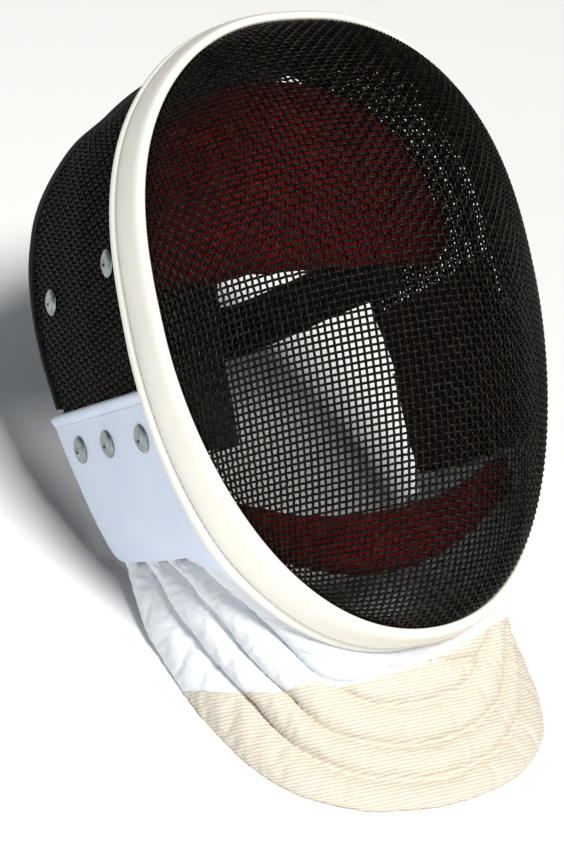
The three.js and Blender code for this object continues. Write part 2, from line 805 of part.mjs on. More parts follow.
// Tongue: a covered spring from under the crown down behind the head
function tongue() {
  const across = [-1, -0.5, 0, 0.5, 1];
  const seated = TONGUE_BACKS.map((back) => {
    const lift = -MESH_WALL - 2 * GAP;
    const share = (x) => (-x * TONGUE.halfWidth) / ringLength;
    return [
      ...across.map((x) => skin(share(x), back, lift)),
      ...[...across].reverse().map((x) => skin(share(x), back, lift - 2 * TONGUE.halfWall)),
    ];
  });
  const floorEnd = vec(0, TONGUE_END.y, floorHeight(TONGUE_END.y));
  const path = new THREE.CatmullRomCurve3([...TONGUE_PATH.map(({ y, z }) => vec(0, y, z)), floorEnd]);
  const free = TONGUE_PATH.map(({ y, z, halfWall, halfWidth, sag }, i) => {
    const tangent = path.getTangent(i / TONGUE_PATH.length);
    const out = vec(0, -tangent.z, tangent.y).normalize();
    const place = (x, side) =>
      vec(x * halfWidth, y, z)
        .addScaledVector(out, side * halfWall - sag * x * x);
    return [...across.map((x) => place(x, 1)), ...[...across].reverse().map((x) => place(x, -1))];
  });
  const level = vec(0, Math.cos(LEAN), Math.sin(LEAN));
  const foot = (x, side) =>
    vec(x * TONGUE_END.halfWidth, TONGUE_END.y, floorHeight(TONGUE_END.y))
      .addScaledVector(level, side * TONGUE_END.halfWall);
  const end = [...across.map((x) => foot(x, 1)), ...[...across].reverse().map((x) => foot(x, -1))];
  return loft([...seated, ...free, end]);
}

// Elastic strap behind the tongue, seated on the side walls by its rear rivets
function backStrap() {
  const turn = STRAP.width / 2 / ringLength;
  const seat = STRAP_SEAT.backs.map((back) => {
    const corner = (rise, lift) => skin(STRAP_SEAT.share - rise * turn, back, STRAP_SEAT.lift - lift);
    return [corner(1, 0), corner(-1, 0), corner(-1, STRAP.wall), corner(1, STRAP.wall)];
  });
  const free = STRAP_PATH.map(({ x, y, z }, i) => {
    const before = STRAP_PATH[Math.max(0, i - 1)];
    const after = STRAP_PATH[i + 1] ?? { x: -before.x, y: before.y };
    const out = vec(before.y - after.y, before.x - after.x, 0).normalize();
    const corner = (rise, side) =>
      vec(-x, y, z + (rise * STRAP.width) / 2).addScaledVector(out, (side * STRAP.wall) / 2);
    return [corner(1, 1), corner(-1, 1), corner(-1, -1), corner(1, -1)];
  });
  const half = [...seat, ...free];
  const other = half.slice(0, -1).reverse();
  return loft([...half, ...other.map((section) => section.map((p) => vec(-p.x, p.y, p.z)))]);
}

const ringLength = ringCurve.getLength() * 2;

addPiece("front_mesh", "wire", frontMesh());
addPiece("side_mesh", "wire", sideMesh());
addPiece("rear_edging", "piping", rearEdging());
addPiece("trim", "cream", trim());
addPiece("jaw_band", "white", jawBand());

const bib = toManifold(quiltedBib());
addPiece("bib", "bib", toGeometry(bib.subtract(belowBorder(GAP))));
addPiece("bib_cover", "cover", toGeometry(bib.intersect(belowBorder(0))));

for (const { name, sign } of SIDES) {
  for (const rivet of TAB_RIVETS) {
    const lift = BAND_WALL + 2 * GAP;
    const head = rivetHead(sign * rivet.share, rivet.back, lift);
    addPiece(`tab_rivet_${rivet.name}_${name}`, "steel", head);
  }
  for (const rivet of MESH_RIVETS) {
    const head = rivetHead(sign * rivet.share, rivet.back, GAP);
    addPiece(`mesh_rivet_${rivet.name}_${name}`, "steel", head);
  }
  const { share, back } = TONGUE_RIVET;
  addPiece(`tongue_rivet_${name}`, "steel", rivetHead(sign * share, back, GAP));
  addPiece(`cheek_pad_${name}`, "dark", cheekPad(sign));
}
addPiece("crown_pad", "red", hangingPad(CROWN_PAD, 14));
addPiece("chin_pad", "red", hangingPad(CHIN_PAD, 12));
addPiece("tongue", "elastic", tongue());
addPiece("back_strap", "elastic", backStrap());

// The mask leans back onto its bib and tongue, with its outline centred over the origin.
mask.rotation.x = -LEAN;
const group = new THREE.Group();
group.add(mask);
group.updateMatrixWorld(true);
const box = new THREE.Box3().setFromObject(mask, true);
mask.position.y -= (box.min.y + box.max.y) / 2;
mask.position.z -= box.min.z;

export default group;
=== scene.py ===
"""Looks of a fencing mask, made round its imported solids.

Shapes are worked out in millimetres in the mask's own frame, where it faces -Y with +Z up. A ring
share runs from 0 at the crown to 0.5 at the chin, positive on the wearer's right (-X). stand() leans
the points back onto the floor, as the solids stand, and turns them into metres.
"""

import json
import logging
import math
from dataclasses import dataclass, field
from enum import Enum
from typing import Sequence

import bpy
import numpy as np
from mathutils import Matrix, Vector

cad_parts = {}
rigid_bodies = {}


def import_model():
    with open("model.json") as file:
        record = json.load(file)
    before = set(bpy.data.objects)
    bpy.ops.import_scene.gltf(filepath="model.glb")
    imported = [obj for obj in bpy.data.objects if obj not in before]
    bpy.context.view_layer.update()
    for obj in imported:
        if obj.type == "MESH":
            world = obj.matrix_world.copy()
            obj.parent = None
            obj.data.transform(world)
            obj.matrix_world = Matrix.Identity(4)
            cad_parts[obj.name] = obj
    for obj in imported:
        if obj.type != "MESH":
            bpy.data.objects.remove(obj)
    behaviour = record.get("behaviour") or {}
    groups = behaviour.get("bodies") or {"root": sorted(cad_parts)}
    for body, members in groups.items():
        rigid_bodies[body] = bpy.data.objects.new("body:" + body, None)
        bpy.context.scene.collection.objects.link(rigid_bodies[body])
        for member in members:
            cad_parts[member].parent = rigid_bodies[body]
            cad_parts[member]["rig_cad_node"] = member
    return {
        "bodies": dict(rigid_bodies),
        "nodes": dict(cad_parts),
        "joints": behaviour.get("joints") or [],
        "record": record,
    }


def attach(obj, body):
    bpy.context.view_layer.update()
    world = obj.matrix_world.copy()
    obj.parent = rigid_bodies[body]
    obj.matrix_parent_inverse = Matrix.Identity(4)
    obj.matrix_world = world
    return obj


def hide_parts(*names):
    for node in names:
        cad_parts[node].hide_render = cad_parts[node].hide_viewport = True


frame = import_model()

log = logging.getLogger("fencing_mask")

LEAN = math.radians(47.7)
STAND_OFFSET = (0.0, -13.099, 159.400)
FLOOR_DEPTH = 159.4
MILLIMETRE = 0.001
GAP = 0.3
ROOT = "root"


class Side(Enum):
    """The wearer's sides, with the sign of their ring shares."""

    RIGHT = 1
    LEFT = -1


def mix(start: np.ndarray | float, end: np.ndarray | float, share: np.ndarray | float) -> np.ndarray:
    """Return the value a share of the way from start to end."""
    return start + (end - start) * share


def ease(low: float, high: float, value: np.ndarray) -> np.ndarray:
    """Return 0 below low, 1 above high and a smooth rise between."""
    t = np.clip((value - low) / (high - low), 0, 1)
    return t * t * (3 - 2 * t)


def unit(vectors: np.ndarray) -> np.ndarray:
    """Return the vectors at length 1."""
    return vectors / np.maximum(np.linalg.norm(vectors, axis=-1, keepdims=True), 1e-12)


def stand(points: np.ndarray) -> np.ndarray:
    """Lean points of the mask's own frame back onto the floor.

    Args:
        points: Places in millimetres, in the mask's own frame.

    Returns:
        The same places in metres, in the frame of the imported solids.
    """
    return (turn(points) + STAND_OFFSET) * MILLIMETRE


def turn(vectors: np.ndarray) -> np.ndarray:
    """Turn directions of the mask's own frame as stand() does, without its shift.

    Args:
        vectors: Directions in the mask's own frame.

    Returns:
        The same directions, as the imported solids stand.
    """
    c, s = math.cos(LEAN), math.sin(LEAN)
    x, y, z = vectors[..., 0], vectors[..., 1], vectors[..., 2]
    return np.stack([x, y * c + z * s, z * c - y * s], -1)


def floor_height(y: np.ndarray) -> np.ndarray:
    """Return the floor's height in the mask's own frame at distances back."""
    return (y * math.sin(LEAN) - FLOOR_DEPTH) / math.cos(LEAN)


class Table:
    """Rows of values by place, read smoothly between the rows and never past them."""

    def __init__(
        self, rows: Sequence[Sequence[float]], odd: Sequence[int] = (), mirrored: bool = True
    ) -> None:
        """Keep the rows, and mirror them about place 0.

        Args:
            rows: Each row's place and its values.
            odd: The columns that change sign on the other side.
            mirrored: Whether the rows hold on both sides of place 0.
        """
        data = np.array(rows, float)
        if mirrored:
            flip = data[:0:-1].copy()
            flip[:, [0, *odd]] *= -1
            data = np.vstack([flip, data])
        self.places, self.values = data[:, 0], data[:, 1:]
        steps = np.diff(self.values, axis=0) / np.diff(self.places)[:, None]
        before, after = steps[:-1], steps[1:]
        same = before * after > 0
        inner = np.where(same, 2 * before * after / np.where(same, before + after, 1), 0)
        self.slopes = np.vstack([steps[:1], inner, steps[-1:]])

    def at(self, place: np.ndarray | float) -> tuple[np.ndarray, ...]:
        """Read the columns at the places.

        Args:
            place: The places to read.

        Returns:
            One array of values for each column.
        """
        place = np.asarray(place, float)
        i = np.clip(np.searchsorted(self.places, place, side="right") - 1, 0, len(self.places) - 2)
        span = self.places[i + 1] - self.places[i]
        u = np.clip((place - self.places[i]) / span, 0, 1)[..., None]
        span = span[..., None]
        read = (
            (1 + 2 * u) * (1 - u) ** 2 * self.values[i]
            + u * (1 - u) ** 2 * span * self.slopes[i]
            + u * u * (3 - 2 * u) * self.values[i + 1]
            + u * u * (u - 1) * span * self.slopes[i + 1]
        )
        return tuple(read[..., k] for k in range(read.shape[-1]))


@dataclass
class Shell:
    """The ring that the mask is built on, and the flared wall behind it."""

    half_width: float = 96.0
    crown: float = 141.0
    chin: float = 150.0
    crown_power: float = 2.5
    chin_power: float = 2.1
    skew: float = 0.07
    crown_recede: float = 7.0
    chin_recede: float = 15.0
    flare_start: float = 0.9
    flare_bend: float = 23.0
    steps: int = 2000
    nudge: float = 1e-3
    spread: Table = field(
        default_factory=lambda: Table(
            [
                (0, 0.26, 0.03),
                (0.05, 0.19, 0.01),
                (0.08, 0.165, 0.015),
                (0.1, 0.15, 0.055),
                (0.1255, 0.145, 0.035),
                (0.15, 0.14, 0),
                (0.2, 0.14, -0.03),
                (0.27, 0.19, -0.03),
                (0.34, 0.31, -0.03),
                (0.375, 0.36, -0.03),
                (0.41, 0.29, -0.03),
                (0.45, 0.2, -0.03),
                (0.5, 0.06, -0.03),
            ]
        )
    )

    def __post_init__(self) -> None:
        """Measure the half ring, so that its points can be read by arc length."""
        self.turns = np.linspace(0, 1, self.steps + 1)
        steps = np.linalg.norm(np.diff(self._half(self.turns), axis=0), axis=1)
        self.lengths = np.concatenate([[0], np.cumsum(steps)])
        self.length = 2 * self.lengths[-1]

    def _half(self, place: np.ndarray) -> np.ndarray:
        """Place points on the half ring, not yet even along it.

        Args:
            place: Places from 0 at the crown to 1 at the chin.

        Returns:
            The points, in the mask's own frame.
        """
        rise, width = np.cos(place * np.pi), np.sin(place * np.pi)
        upper = rise > 0
        power = 2 / np.where(upper, self.crown_power, self.chin_power)
        height = np.sign(rise) * np.abs(rise) ** power
        across = -self.half_width * np.abs(width) ** power * (1 + self.skew * (rise - rise**3))
        back = -np.where(upper, self.crown_recede, self.chin_recede) * height**2
        return np.stack([across, back, np.where(upper, self.crown, self.chin) * height], -1)

    def ring(self, share: np.ndarray) -> np.ndarray:
        """Place points on the ring.

        Args:
            share: Arc shares round the ring.

        Returns:
            The points, in the mask's own frame.
        """
        wrapped = np.asarray(share, float) - np.round(share)
        place = np.interp(np.minimum(1, 2 * np.abs(wrapped)) * self.lengths[-1], self.lengths, self.turns)
        points = self._half(place)
        points[..., 0] *= np.where(wrapped < 0, -1, 1)
        return points

    def outward(self, share: np.ndarray) -> np.ndarray:
        """Find which way is out.

        Args:
            share: Arc shares round the ring.

        Returns:
            Directions away from the hollow, square to the ring as seen from the front.
        """
        share = np.asarray(share, float)
        along = self.ring(share + self.nudge) - self.ring(share - self.nudge)
        return unit(np.stack([along[..., 2], 0 * along[..., 0], -along[..., 0]], -1))

    def skin(self, share: np.ndarray, back: np.ndarray, lift: np.ndarray | float = 0) -> np.ndarray:
        """Return points of the flared wall.

        Args:
            share: Arc shares round the ring.
            back: Distances behind the ring.
            lift: How far the points stand off the wall.

        Returns:
            The points, in the mask's own frame.
        """
        share, back, lift = np.broadcast_arrays(*(np.asarray(v, float) for v in (share, back, lift)))
        trim_slope, side_slope = self.spread.at(share - np.round(share))
        near = np.minimum(back, self.flare_bend)
        flare = self.flare_start + trim_slope * near + side_slope * (back - near)
        points = self.ring(share) + self.outward(share) * (flare + lift)[..., None]
        points[..., 1] += back
        return points

    def near_ring(self, share: np.ndarray, back: np.ndarray, rise: np.ndarray | float) -> np.ndarray:
        """Place points straight off the ring.

        Args:
            share: Arc shares round the ring.
            back: Distances behind the ring.
            rise: How far the points stand off the ring.

        Returns:
            The points, in the mask's own frame.
        """
        share, back, rise = np.broadcast_arrays(*(np.asarray(v, float) for v in (share, back, rise)))
        points = self.ring(share) + self.outward(share) * rise[..., None]
        points[..., 1] += back
        return points


SHELL = Shell()


# Meshes and node trees
def new_object(name: str, vertices: np.ndarray, edges: list, faces: list) -> bpy.types.Object:
    """Make a mesh object and put it in the scene.

    Args:
        name: The object's name.
        vertices: Its vertices, in metres.
        edges: Its loose edges, by vertex number.
        faces: Its faces, by vertex number.

    Returns:
        The object.
    """
    mesh = bpy.data.meshes.new(name)
    mesh.from_pydata(vertices.tolist(), edges, faces)
    made = bpy.data.objects.new(name, mesh)
    bpy.context.scene.collection.objects.link(made)
    return made


def grid_faces(rows: int, columns: int, loop_rows: bool, loop_columns: bool) -> np.ndarray:
    """Number the corners of a grid's quads.

    Args:
        rows: How many rows the grid has.
        columns: How many columns.
        loop_rows: Whether the last row joins the first.
        loop_columns: Whether the last column joins the first.

    Returns:
        Row and column of each corner, in shape (count, 4, 2).
    """
    i = np.arange(rows if loop_rows else rows - 1)
    j = np.arange(columns if loop_columns else columns - 1)
    i, j = (v.ravel() for v in np.meshgrid(i, j, indexing="ij"))
    return np.stack([np.stack([i + a, j + b], -1) for a, b in ((0, 0), (1, 0), (1, 1), (0, 1))], 1)


def grid_object(
    name: str,
    points: np.ndarray,
    loop_rows: bool = False,
    loop_columns: bool = False,
    capped: bool = False,
    uv: np.ndarray | None = None,
) -> bpy.types.Object:
    """Make a smooth mesh through a grid of points.

    Args:
        name: The piece's name.
        points: A grid of places in the mask's own frame, in millimetres.
        loop_rows: Whether the last row joins the first.
        loop_columns: Whether the last column joins the first.
        capped: Whether the first and last rows are closed by one face each.
        uv: Places on the cloth in metres, one more than the points along each closed direction.

    Returns:
        The object, with its faces turned outwards where it is closed.
    """
    rows, columns = points.shape[:2]
    pairs = grid_faces(rows, columns, loop_rows, loop_columns)
    corners = (pairs[..., 0] % rows) * columns + pairs[..., 1] % columns
    world = stand(points).reshape(-1, 3)
    a, b, c, d = (world[corners[:, k]] for k in range(4))
    volume = np.einsum("ij,ij->i", a, np.cross(b, c) + np.cross(c, d)).sum()
    faces = corners.tolist()
    if capped:
        faces.append(list(range(columns)))
        faces.append(list(range((rows - 1) * columns, rows * columns))[::-1])
    order = [0, 1, 2, 3]
    if loop_columns and volume < 0:
        faces = [face[::-1] for face in faces]
        order = [3, 2, 1, 0]
    made = new_object(name, world, [], faces)
    if uv is not None:
        layer = made.data.uv_layers.new(name="cloth")
        values = uv[pairs[:, order, 0], pairs[:, order, 1]].reshape(-1, 2)
        caps = np.zeros((2 * columns if capped else 0, 2))
        layer.data.foreach_set("uv", np.vstack([values, caps]).astype(np.float32).ravel())
    made.data.polygons.foreach_set("use_smooth", [True] * len(made.data.polygons))
    return made


def line_object(
    name: str, lines: list[np.ndarray], outward: list[np.ndarray] | None = None
) -> bpy.types.Object:
    """Make an object of loose lines, with the direction away from the head kept at each point.

    Args:
        name: The piece's name.
        lines: The points of each line, in the mask's own frame.
        outward: The directions at the same points, or None.

    Returns:
        The object, for a node tree to sweep or to set things along.
    """
    ends = np.cumsum([len(line) for line in lines])
    joined = np.setdiff1d(np.arange(ends[-1]), ends - 1)
    edges = np.stack([joined, joined + 1], -1)
    made = new_object(name, stand(np.vstack(lines)), edges.tolist(), [])
    if outward is not None:
        layer = made.data.attributes.new("outward", "FLOAT_VECTOR", "POINT")
        layer.data.foreach_set("vector", turn(np.vstack(outward)).astype(np.float32).ravel())
    return made


def settle(made: bpy.types.Object) -> None:
    """Turn an object's modifiers into its plain mesh.

    Args:
        made: The object, which keeps the mesh and loses the modifiers.
    """
    graph = bpy.context.evaluated_depsgraph_get()
    mesh = bpy.data.meshes.new_from_object(
        made.evaluated_get(graph), preserve_all_data_layers=True, depsgraph=graph
    )
    made.modifiers.clear()
    made.data = mesh


@dataclass(frozen=True)
class Stuffing:
    """How a closed piece swells as cloth."""

    pressure: float
    most: float
    voxel: float = 0.0
    slack: float = 0.0
    bending: float = 0.1
    last_frame: int = 20

    def fill(self, made: bpy.types.Object, held: np.ndarray | None = None) -> bpy.types.Object:
        """Swell a piece and keep its plain mesh.

        Args:
            made: The closed piece, a little slimmer than it ends.
            held: The numbers of the vertices that stay sewn down, or None.

        Returns:
            The piece, no point of it moved further than the most allowed.
        """
        if self.voxel:
            remesh = made.modifiers.new("even_skin", "REMESH")
            remesh.mode = "VOXEL"
            remesh.voxel_size = self.voxel * MILLIMETRE
            remesh.use_smooth_shade = True
            settle(made)
        start = vertex_places(made.data)
        cloth = made.modifiers.new("stuffing", "CLOTH")
        cloth.settings.use_pressure = True
        cloth.settings.uniform_pressure_force = self.pressure
        cloth.settings.effector_weights.gravity = 0
        cloth.settings.shrink_min = -self.slack
        cloth.settings.bending_stiffness = self.bending
        if held is not None:
            made.vertex_groups.new(name="sewn").add(held.tolist(), 1.0, "REPLACE")
            cloth.settings.vertex_group_mass = "sewn"
        for frame in range(1, self.last_frame + 1):
            bpy.context.scene.frame_set(frame)
        settle(made)
        bpy.context.scene.frame_set(1)
        made.vertex_groups.clear()
        moved = vertex_places(made.data) - start
        reach = np.linalg.norm(moved, axis=-1, keepdims=True)
        limit = self.most * MILLIMETRE
        log.info("%s: swells by up to %.1f mm", made.name, reach.max() / MILLIMETRE)
        short = limit * np.tanh(reach / limit) / np.maximum(reach, 1e-9)
        made.data.vertices.foreach_set("co", (start + moved * short).astype(np.float32).ravel())
        made.data.update()
        if self.voxel:
            rounder = made.modifiers.new("rounder", "SUBSURF")
            rounder.levels = rounder.render_levels = 1
            settle(made)
            made.data.polygons.foreach_set("use_smooth", [True] * len(made.data.polygons))
        return made


def vertex_places(mesh: bpy.types.Mesh) -> np.ndarray:
    """Read a mesh's vertices.

    Args:
        mesh: The mesh to read.

    Returns:
        Its vertices, in metres.
    """
    found = np.empty(3 * len(mesh.vertices), np.float32)
    mesh.vertices.foreach_get("co", found)
    return found.reshape(-1, 3)


class NodeTree:
    """A node tree that is put together in code."""

    tree: bpy.types.NodeTree

    def add(self, kind: str, links: dict | None = None, **settings: object) -> bpy.types.Node:
        """Add a node.

        Args:
            kind: The node's type.
            links: What feeds each input: another node's output, or a plain value.
            **settings: Values of the node's own options.

        Returns:
            The node.
        """
        node = self.tree.nodes.new(kind)
        for option, value in settings.items():
            setattr(node, option, value)
        for label, source in (links or {}).items():
            self.join(source, node.inputs[label])
        return node

    def join(self, source: object, socket: bpy.types.NodeSocket) -> None:
        """Feed a socket from another node's output or with a plain value.

        Args:
            source: The output or the value.
            socket: The input that it feeds.
        """
        if isinstance(source, bpy.types.NodeSocket):
            self.tree.links.new(source, socket)
        else:
            socket.default_value = source


class GeometryTree(NodeTree):
    """A Geometry Nodes tree that ends as one plain mesh."""

    def __init__(self, name: str, inputs: Sequence[tuple[str, str]]) -> None:
        """Start the tree with a geometry input, the named inputs and a geometry output.

        Args:
            name: The tree's name.
            inputs: The name and socket type of each input.
        """
        self.tree = bpy.data.node_groups.new(name, "GeometryNodeTree")
        sockets = self.tree.interface
        sockets.new_socket("Geometry", in_out="INPUT", socket_type="NodeSocketGeometry")
        for label, kind in inputs:
            sockets.new_socket(label, in_out="INPUT", socket_type=kind)
        sockets.new_socket("Geometry", in_out="OUTPUT", socket_type="NodeSocketGeometry")
        self.entry = self.tree.nodes.new("NodeGroupInput")

    def end(self, geometry: bpy.types.NodeSocket) -> None:
        """Close the tree with Realize Instances and Set Material.

        Args:
            geometry: The output that holds the finished shape.
        """
        real = self.add("GeometryNodeRealizeInstances", {"Geometry": geometry})
        smooth = self.add("GeometryNodeSetShadeSmooth", {"Geometry": real.outputs[0]})
        dressed = self.add(
            "GeometryNodeSetMaterial",
            {"Geometry": smooth.outputs[0], "Material": self.entry.outputs["Material"]},
        )
        out = self.tree.nodes.new("NodeGroupOutput")
        self.tree.links.new(dressed.outputs[0], out.inputs[0])

    def run(self, made: bpy.types.Object, **values: object) -> None:
        """Run the tree on an object.

        Args:
            made: The object, which keeps the result as its mesh.
            **values: The inputs' values, by name.
        """
        modifier = made.modifiers.new(self.tree.name, "NODES")
        modifier.node_group = self.tree
        for item in self.tree.interface.items_tree:
            if item.item_type == "SOCKET" and item.in_out == "INPUT" and item.name in values:
                modifier[item.identifier] = values[item.name]
        settle(made)


def wire_tree() -> GeometryTree:
    """Build the tree that sweeps a round wire along loose lines.

    Returns:
        The tree, with the wire's radius, sides and material as inputs.
    """
    made = GeometryTree(
        "swept_wire",
        [("Radius", "NodeSocketFloat"), ("Sides", "NodeSocketInt"), ("Material", "NodeSocketMaterial")],
    )
    inputs = made.entry.outputs
    path = made.add("GeometryNodeMeshToCurve", {"Mesh": inputs["Geometry"]})
    profile = made.add(
        "GeometryNodeCurvePrimitiveCircle", {"Resolution": inputs["Sides"], "Radius": inputs["Radius"]}
    )
    swept = made.add(
        "GeometryNodeCurveToMesh",
        {"Curve": path.outputs[0], "Profile Curve": profile.outputs[0], "Fill Caps": True},
    )
    made.end(swept.outputs[0])
    return made


def seated_tree() -> GeometryTree:
    """Build the tree that sets one shape on points, turned to face away from the head.

    Returns:
        The tree, with the shape and its material as inputs.
    """
    made = GeometryTree(
        "seated_shapes", [("Shape", "NodeSocketObject"), ("Material", "NodeSocketMaterial")]
    )
    inputs = made.entry.outputs
    points = made.add("GeometryNodeMeshToPoints", {"Mesh": inputs["Geometry"]})
    outward = made.add("GeometryNodeInputNamedAttribute", {"Name": "outward"}, data_type="FLOAT_VECTOR")
    facing = made.add("FunctionNodeAlignRotationToVector", {"Vector": outward.outputs[0]}, axis="Z")
    shape = made.add("GeometryNodeObjectInfo", {"Object": inputs["Shape"]})
    placed = made.add(
        "GeometryNodeInstanceOnPoints",
        {
            "Points": points.outputs[0],
            "Instance": shape.outputs["Geometry"],
            "Rotation": facing.outputs[0],
        },
    )
    made.end(placed.outputs[0])
    return made


def stitch_tree() -> GeometryTree:
    """Build the tree that lays stitches along loose lines.

    Returns:
        The tree, with the stitch, its spacing and its material as inputs.
    """
    made = GeometryTree(
        "stitches",
        [
            ("Stitch", "NodeSocketObject"),
            ("Spacing", "NodeSocketFloat"),
            ("Material", "NodeSocketMaterial"),
        ],
    )
    inputs = made.entry.outputs
    path = made.add("GeometryNodeMeshToCurve", {"Mesh": inputs["Geometry"]})
    spots = made.add(
        "GeometryNodeCurveToPoints", {"Curve": path.outputs[0], "Length": inputs["Spacing"]}, mode="LENGTH"
    )
    outward = made.add("GeometryNodeInputNamedAttribute", {"Name": "outward"}, data_type="FLOAT_VECTOR")
    along = made.add("FunctionNodeAlignRotationToVector", {"Vector": spots.outputs["Tangent"]}, axis="X")
    facing = made.add(
        "FunctionNodeAlignRotationToVector",
        {"Rotation": along.outputs[0], "Vector": outward.outputs[0]},
        axis="Z",
        pivot_axis="X",
    )
    shape = made.add("GeometryNodeObjectInfo", {"Object": inputs["Stitch"]})
    placed = made.add(
        "GeometryNodeInstanceOnPoints",
        {
            "Points": spots.outputs["Points"],
            "Instance": shape.outputs["Geometry"],
            "Rotation": facing.outputs[0],
        },
    )
    made.end(placed.outputs[0])
    return made


def lathe_shape(name: str, profile: Sequence[tuple[float, float]], steps: int) -> bpy.types.Object:
    """Turn a profile about Z as a shape for a tree to copy.

    Args:
        name: The shape's name.
        profile: Radius and height of each corner, in millimetres, from one pole to the other.
        steps: How many sides the shape has.

    Returns:
        The object, which is hidden and holds metres.
    """
    angles = np.arange(steps) * 2 * math.pi / steps
    rings = [(r, h) for r, h in profile if r > 0]
    vertices = [(r * math.cos(a), r * math.sin(a), h) for r, h in rings for a in angles]
    faces = [
        [k * steps + i, k * steps + (i + 1) % steps, (k + 1) * steps + (i + 1) % steps, (k + 1) * steps + i]
        for k in range(len(rings) - 1)
        for i in range(steps)
    ]
    for pole, ring in ((profile[0], 0), (profile[-1], len(rings) - 1)):
        if pole[0] > 0:
            continue
        vertices.append((0.0, 0.0, pole[1]))
        tip = len(vertices) - 1
        for i in range(steps):
            face = [tip, ring * steps + (i + 1) % steps, ring * steps + i]
            faces.append(face if ring == 0 else face[::-1])
    made = new_object(name, np.array(vertices) * MILLIMETRE, [], faces)
    made.data.polygons.foreach_set("use_smooth", [True] * len(faces))
    made.hide_render = True
    return made


# Finishes
class Shade(NodeTree):
    """The node tree of a procedural material."""

    def __init__(self, name: str, **values: object) -> None:
        """Start the material.

        Args:
            name: The material's name.
            **values: Values of the shader's own sockets, by their names with _ for a space.
        """
        self.material = bpy.data.materials.new(name)
        self.material.use_nodes = True
        self.tree = self.material.node_tree
        self.shader = self.tree.nodes["Principled BSDF"]
        for label, value in values.items():
            self.shader.inputs[label.replace("_", " ")].default_value = value

    def feed(self, label: str, source: bpy.types.NodeSocket) -> None:
        """Feed one of the shader's sockets."""
        self.tree.links.new(source, self.shader.inputs[label])

    def object_places(self) -> bpy.types.NodeSocket:
        """Return the piece's own coordinates, in metres."""
        return self.add("ShaderNodeTexCoord").outputs["Object"]

    def cloth_places(self) -> bpy.types.NodeSocket:
        """Return the places on the cloth, in metres."""
        return self.add("ShaderNodeUVMap", uv_map="cloth").outputs[0]

    def noise(
        self, places: bpy.types.NodeSocket, scale: float, detail: float = 2.0
    ) -> bpy.types.NodeSocket:
        """Return a noise value from 0 to 1, with scale features in a metre."""
        links = {"Vector": places, "Scale": scale, "Detail": detail}
        return self.add("ShaderNodeTexNoise", links).outputs[0]

    def bands(
        self, places: bpy.types.NodeSocket, pitch: float, axis: str, wobble: float
    ) -> bpy.types.NodeSocket:
        """Return a wave value from 0 to 1 that repeats at a pitch in metres.

        Args:
            places: The coordinates that it reads.
            pitch: The distance between two crests.
            axis: X or Y, the direction across the bands.
            wobble: How far noise bends the bands.

        Returns:
            The wave's value.
        """
        radians_per_unit = 20
        links = {
            "Vector": places,
            "Scale": 2 * math.pi / (radians_per_unit * pitch),
            "Distortion": wobble,
            "Detail": 2.0,
            "Detail Scale": 0.6,
        }
        return self.add("ShaderNodeTexWave", links, bands_direction=axis).outputs["Fac"]

    def maths(self, operation: str, *values: object) -> bpy.types.NodeSocket:
        """Calculate with values or sockets.

        Args:
            operation: The Math node's operation.
            *values: Plain values or sockets.

        Returns:
            The result's socket.
        """
        node = self.add("ShaderNodeMath", operation=operation)
        for socket, value in zip(node.inputs, values):
            self.join(value, socket)
        return node.outputs[0]

    def span(self, value: bpy.types.NodeSocket, low: float, high: float) -> bpy.types.NodeSocket:
        """Return a value from 0 to 1 stretched to run from low to high."""
        return self.add("ShaderNodeMapRange", {"Value": value, "To Min": low, "To Max": high}).outputs[0]

    def ramp(self, value: bpy.types.NodeSocket, *stops: tuple) -> bpy.types.NodeSocket:
        """Return a colour ramp's colour.

        Args:
            value: The place on the ramp.
            *stops: The place and the linear colour of both its stops.

        Returns:
            The colour socket.
        """
        node = self.add("ShaderNodeValToRGB", {"Fac": value})
        for element, (place, colour) in zip(node.color_ramp.elements, stops):
            element.position = place
            element.color = (*colour, 1)
        return node.outputs[0]

    def relief(self, height: bpy.types.NodeSocket, depth: float) -> None:
        """Give the surface a relief of a depth in metres."""
        bump = self.add("ShaderNodeBump", {"Height": height, "Distance": depth, "Strength": 1.0})
        self.feed("Normal", bump.outputs[0])


Colour = tuple[float, float, float]


@dataclass(frozen=True)
class WirePaint:
    """Black paint on steel wire, with brighter flecks where the paint is thin."""

    name: str = "painted_wire"
    slot: str = "wire"
    dark: Colour = (0.0055, 0.0048, 0.0038)
    fleck: Colour = (0.022, 0.018, 0.013)
    roughness: tuple[float, float] = (0.28, 0.44)
    flecks: float = 260.0
    paint_depth: float = 0.00006

    def make(self) -> bpy.types.Material:
        """Build the material.

        Returns:
            The material.
        """
        shade = Shade(self.name, Specular_IOR_Level=0.17)
        places = shade.object_places()
        patches = shade.noise(places, self.flecks, 3.0)
        shade.feed("Base Color", shade.ramp(patches, (0.42, self.dark), (0.72, self.fleck)))
        shade.feed("Roughness", shade.span(shade.noise(places, 3 * self.flecks), *self.roughness))
        shade.relief(shade.noise(places, 8 * self.flecks), self.paint_depth)
        return shade.material


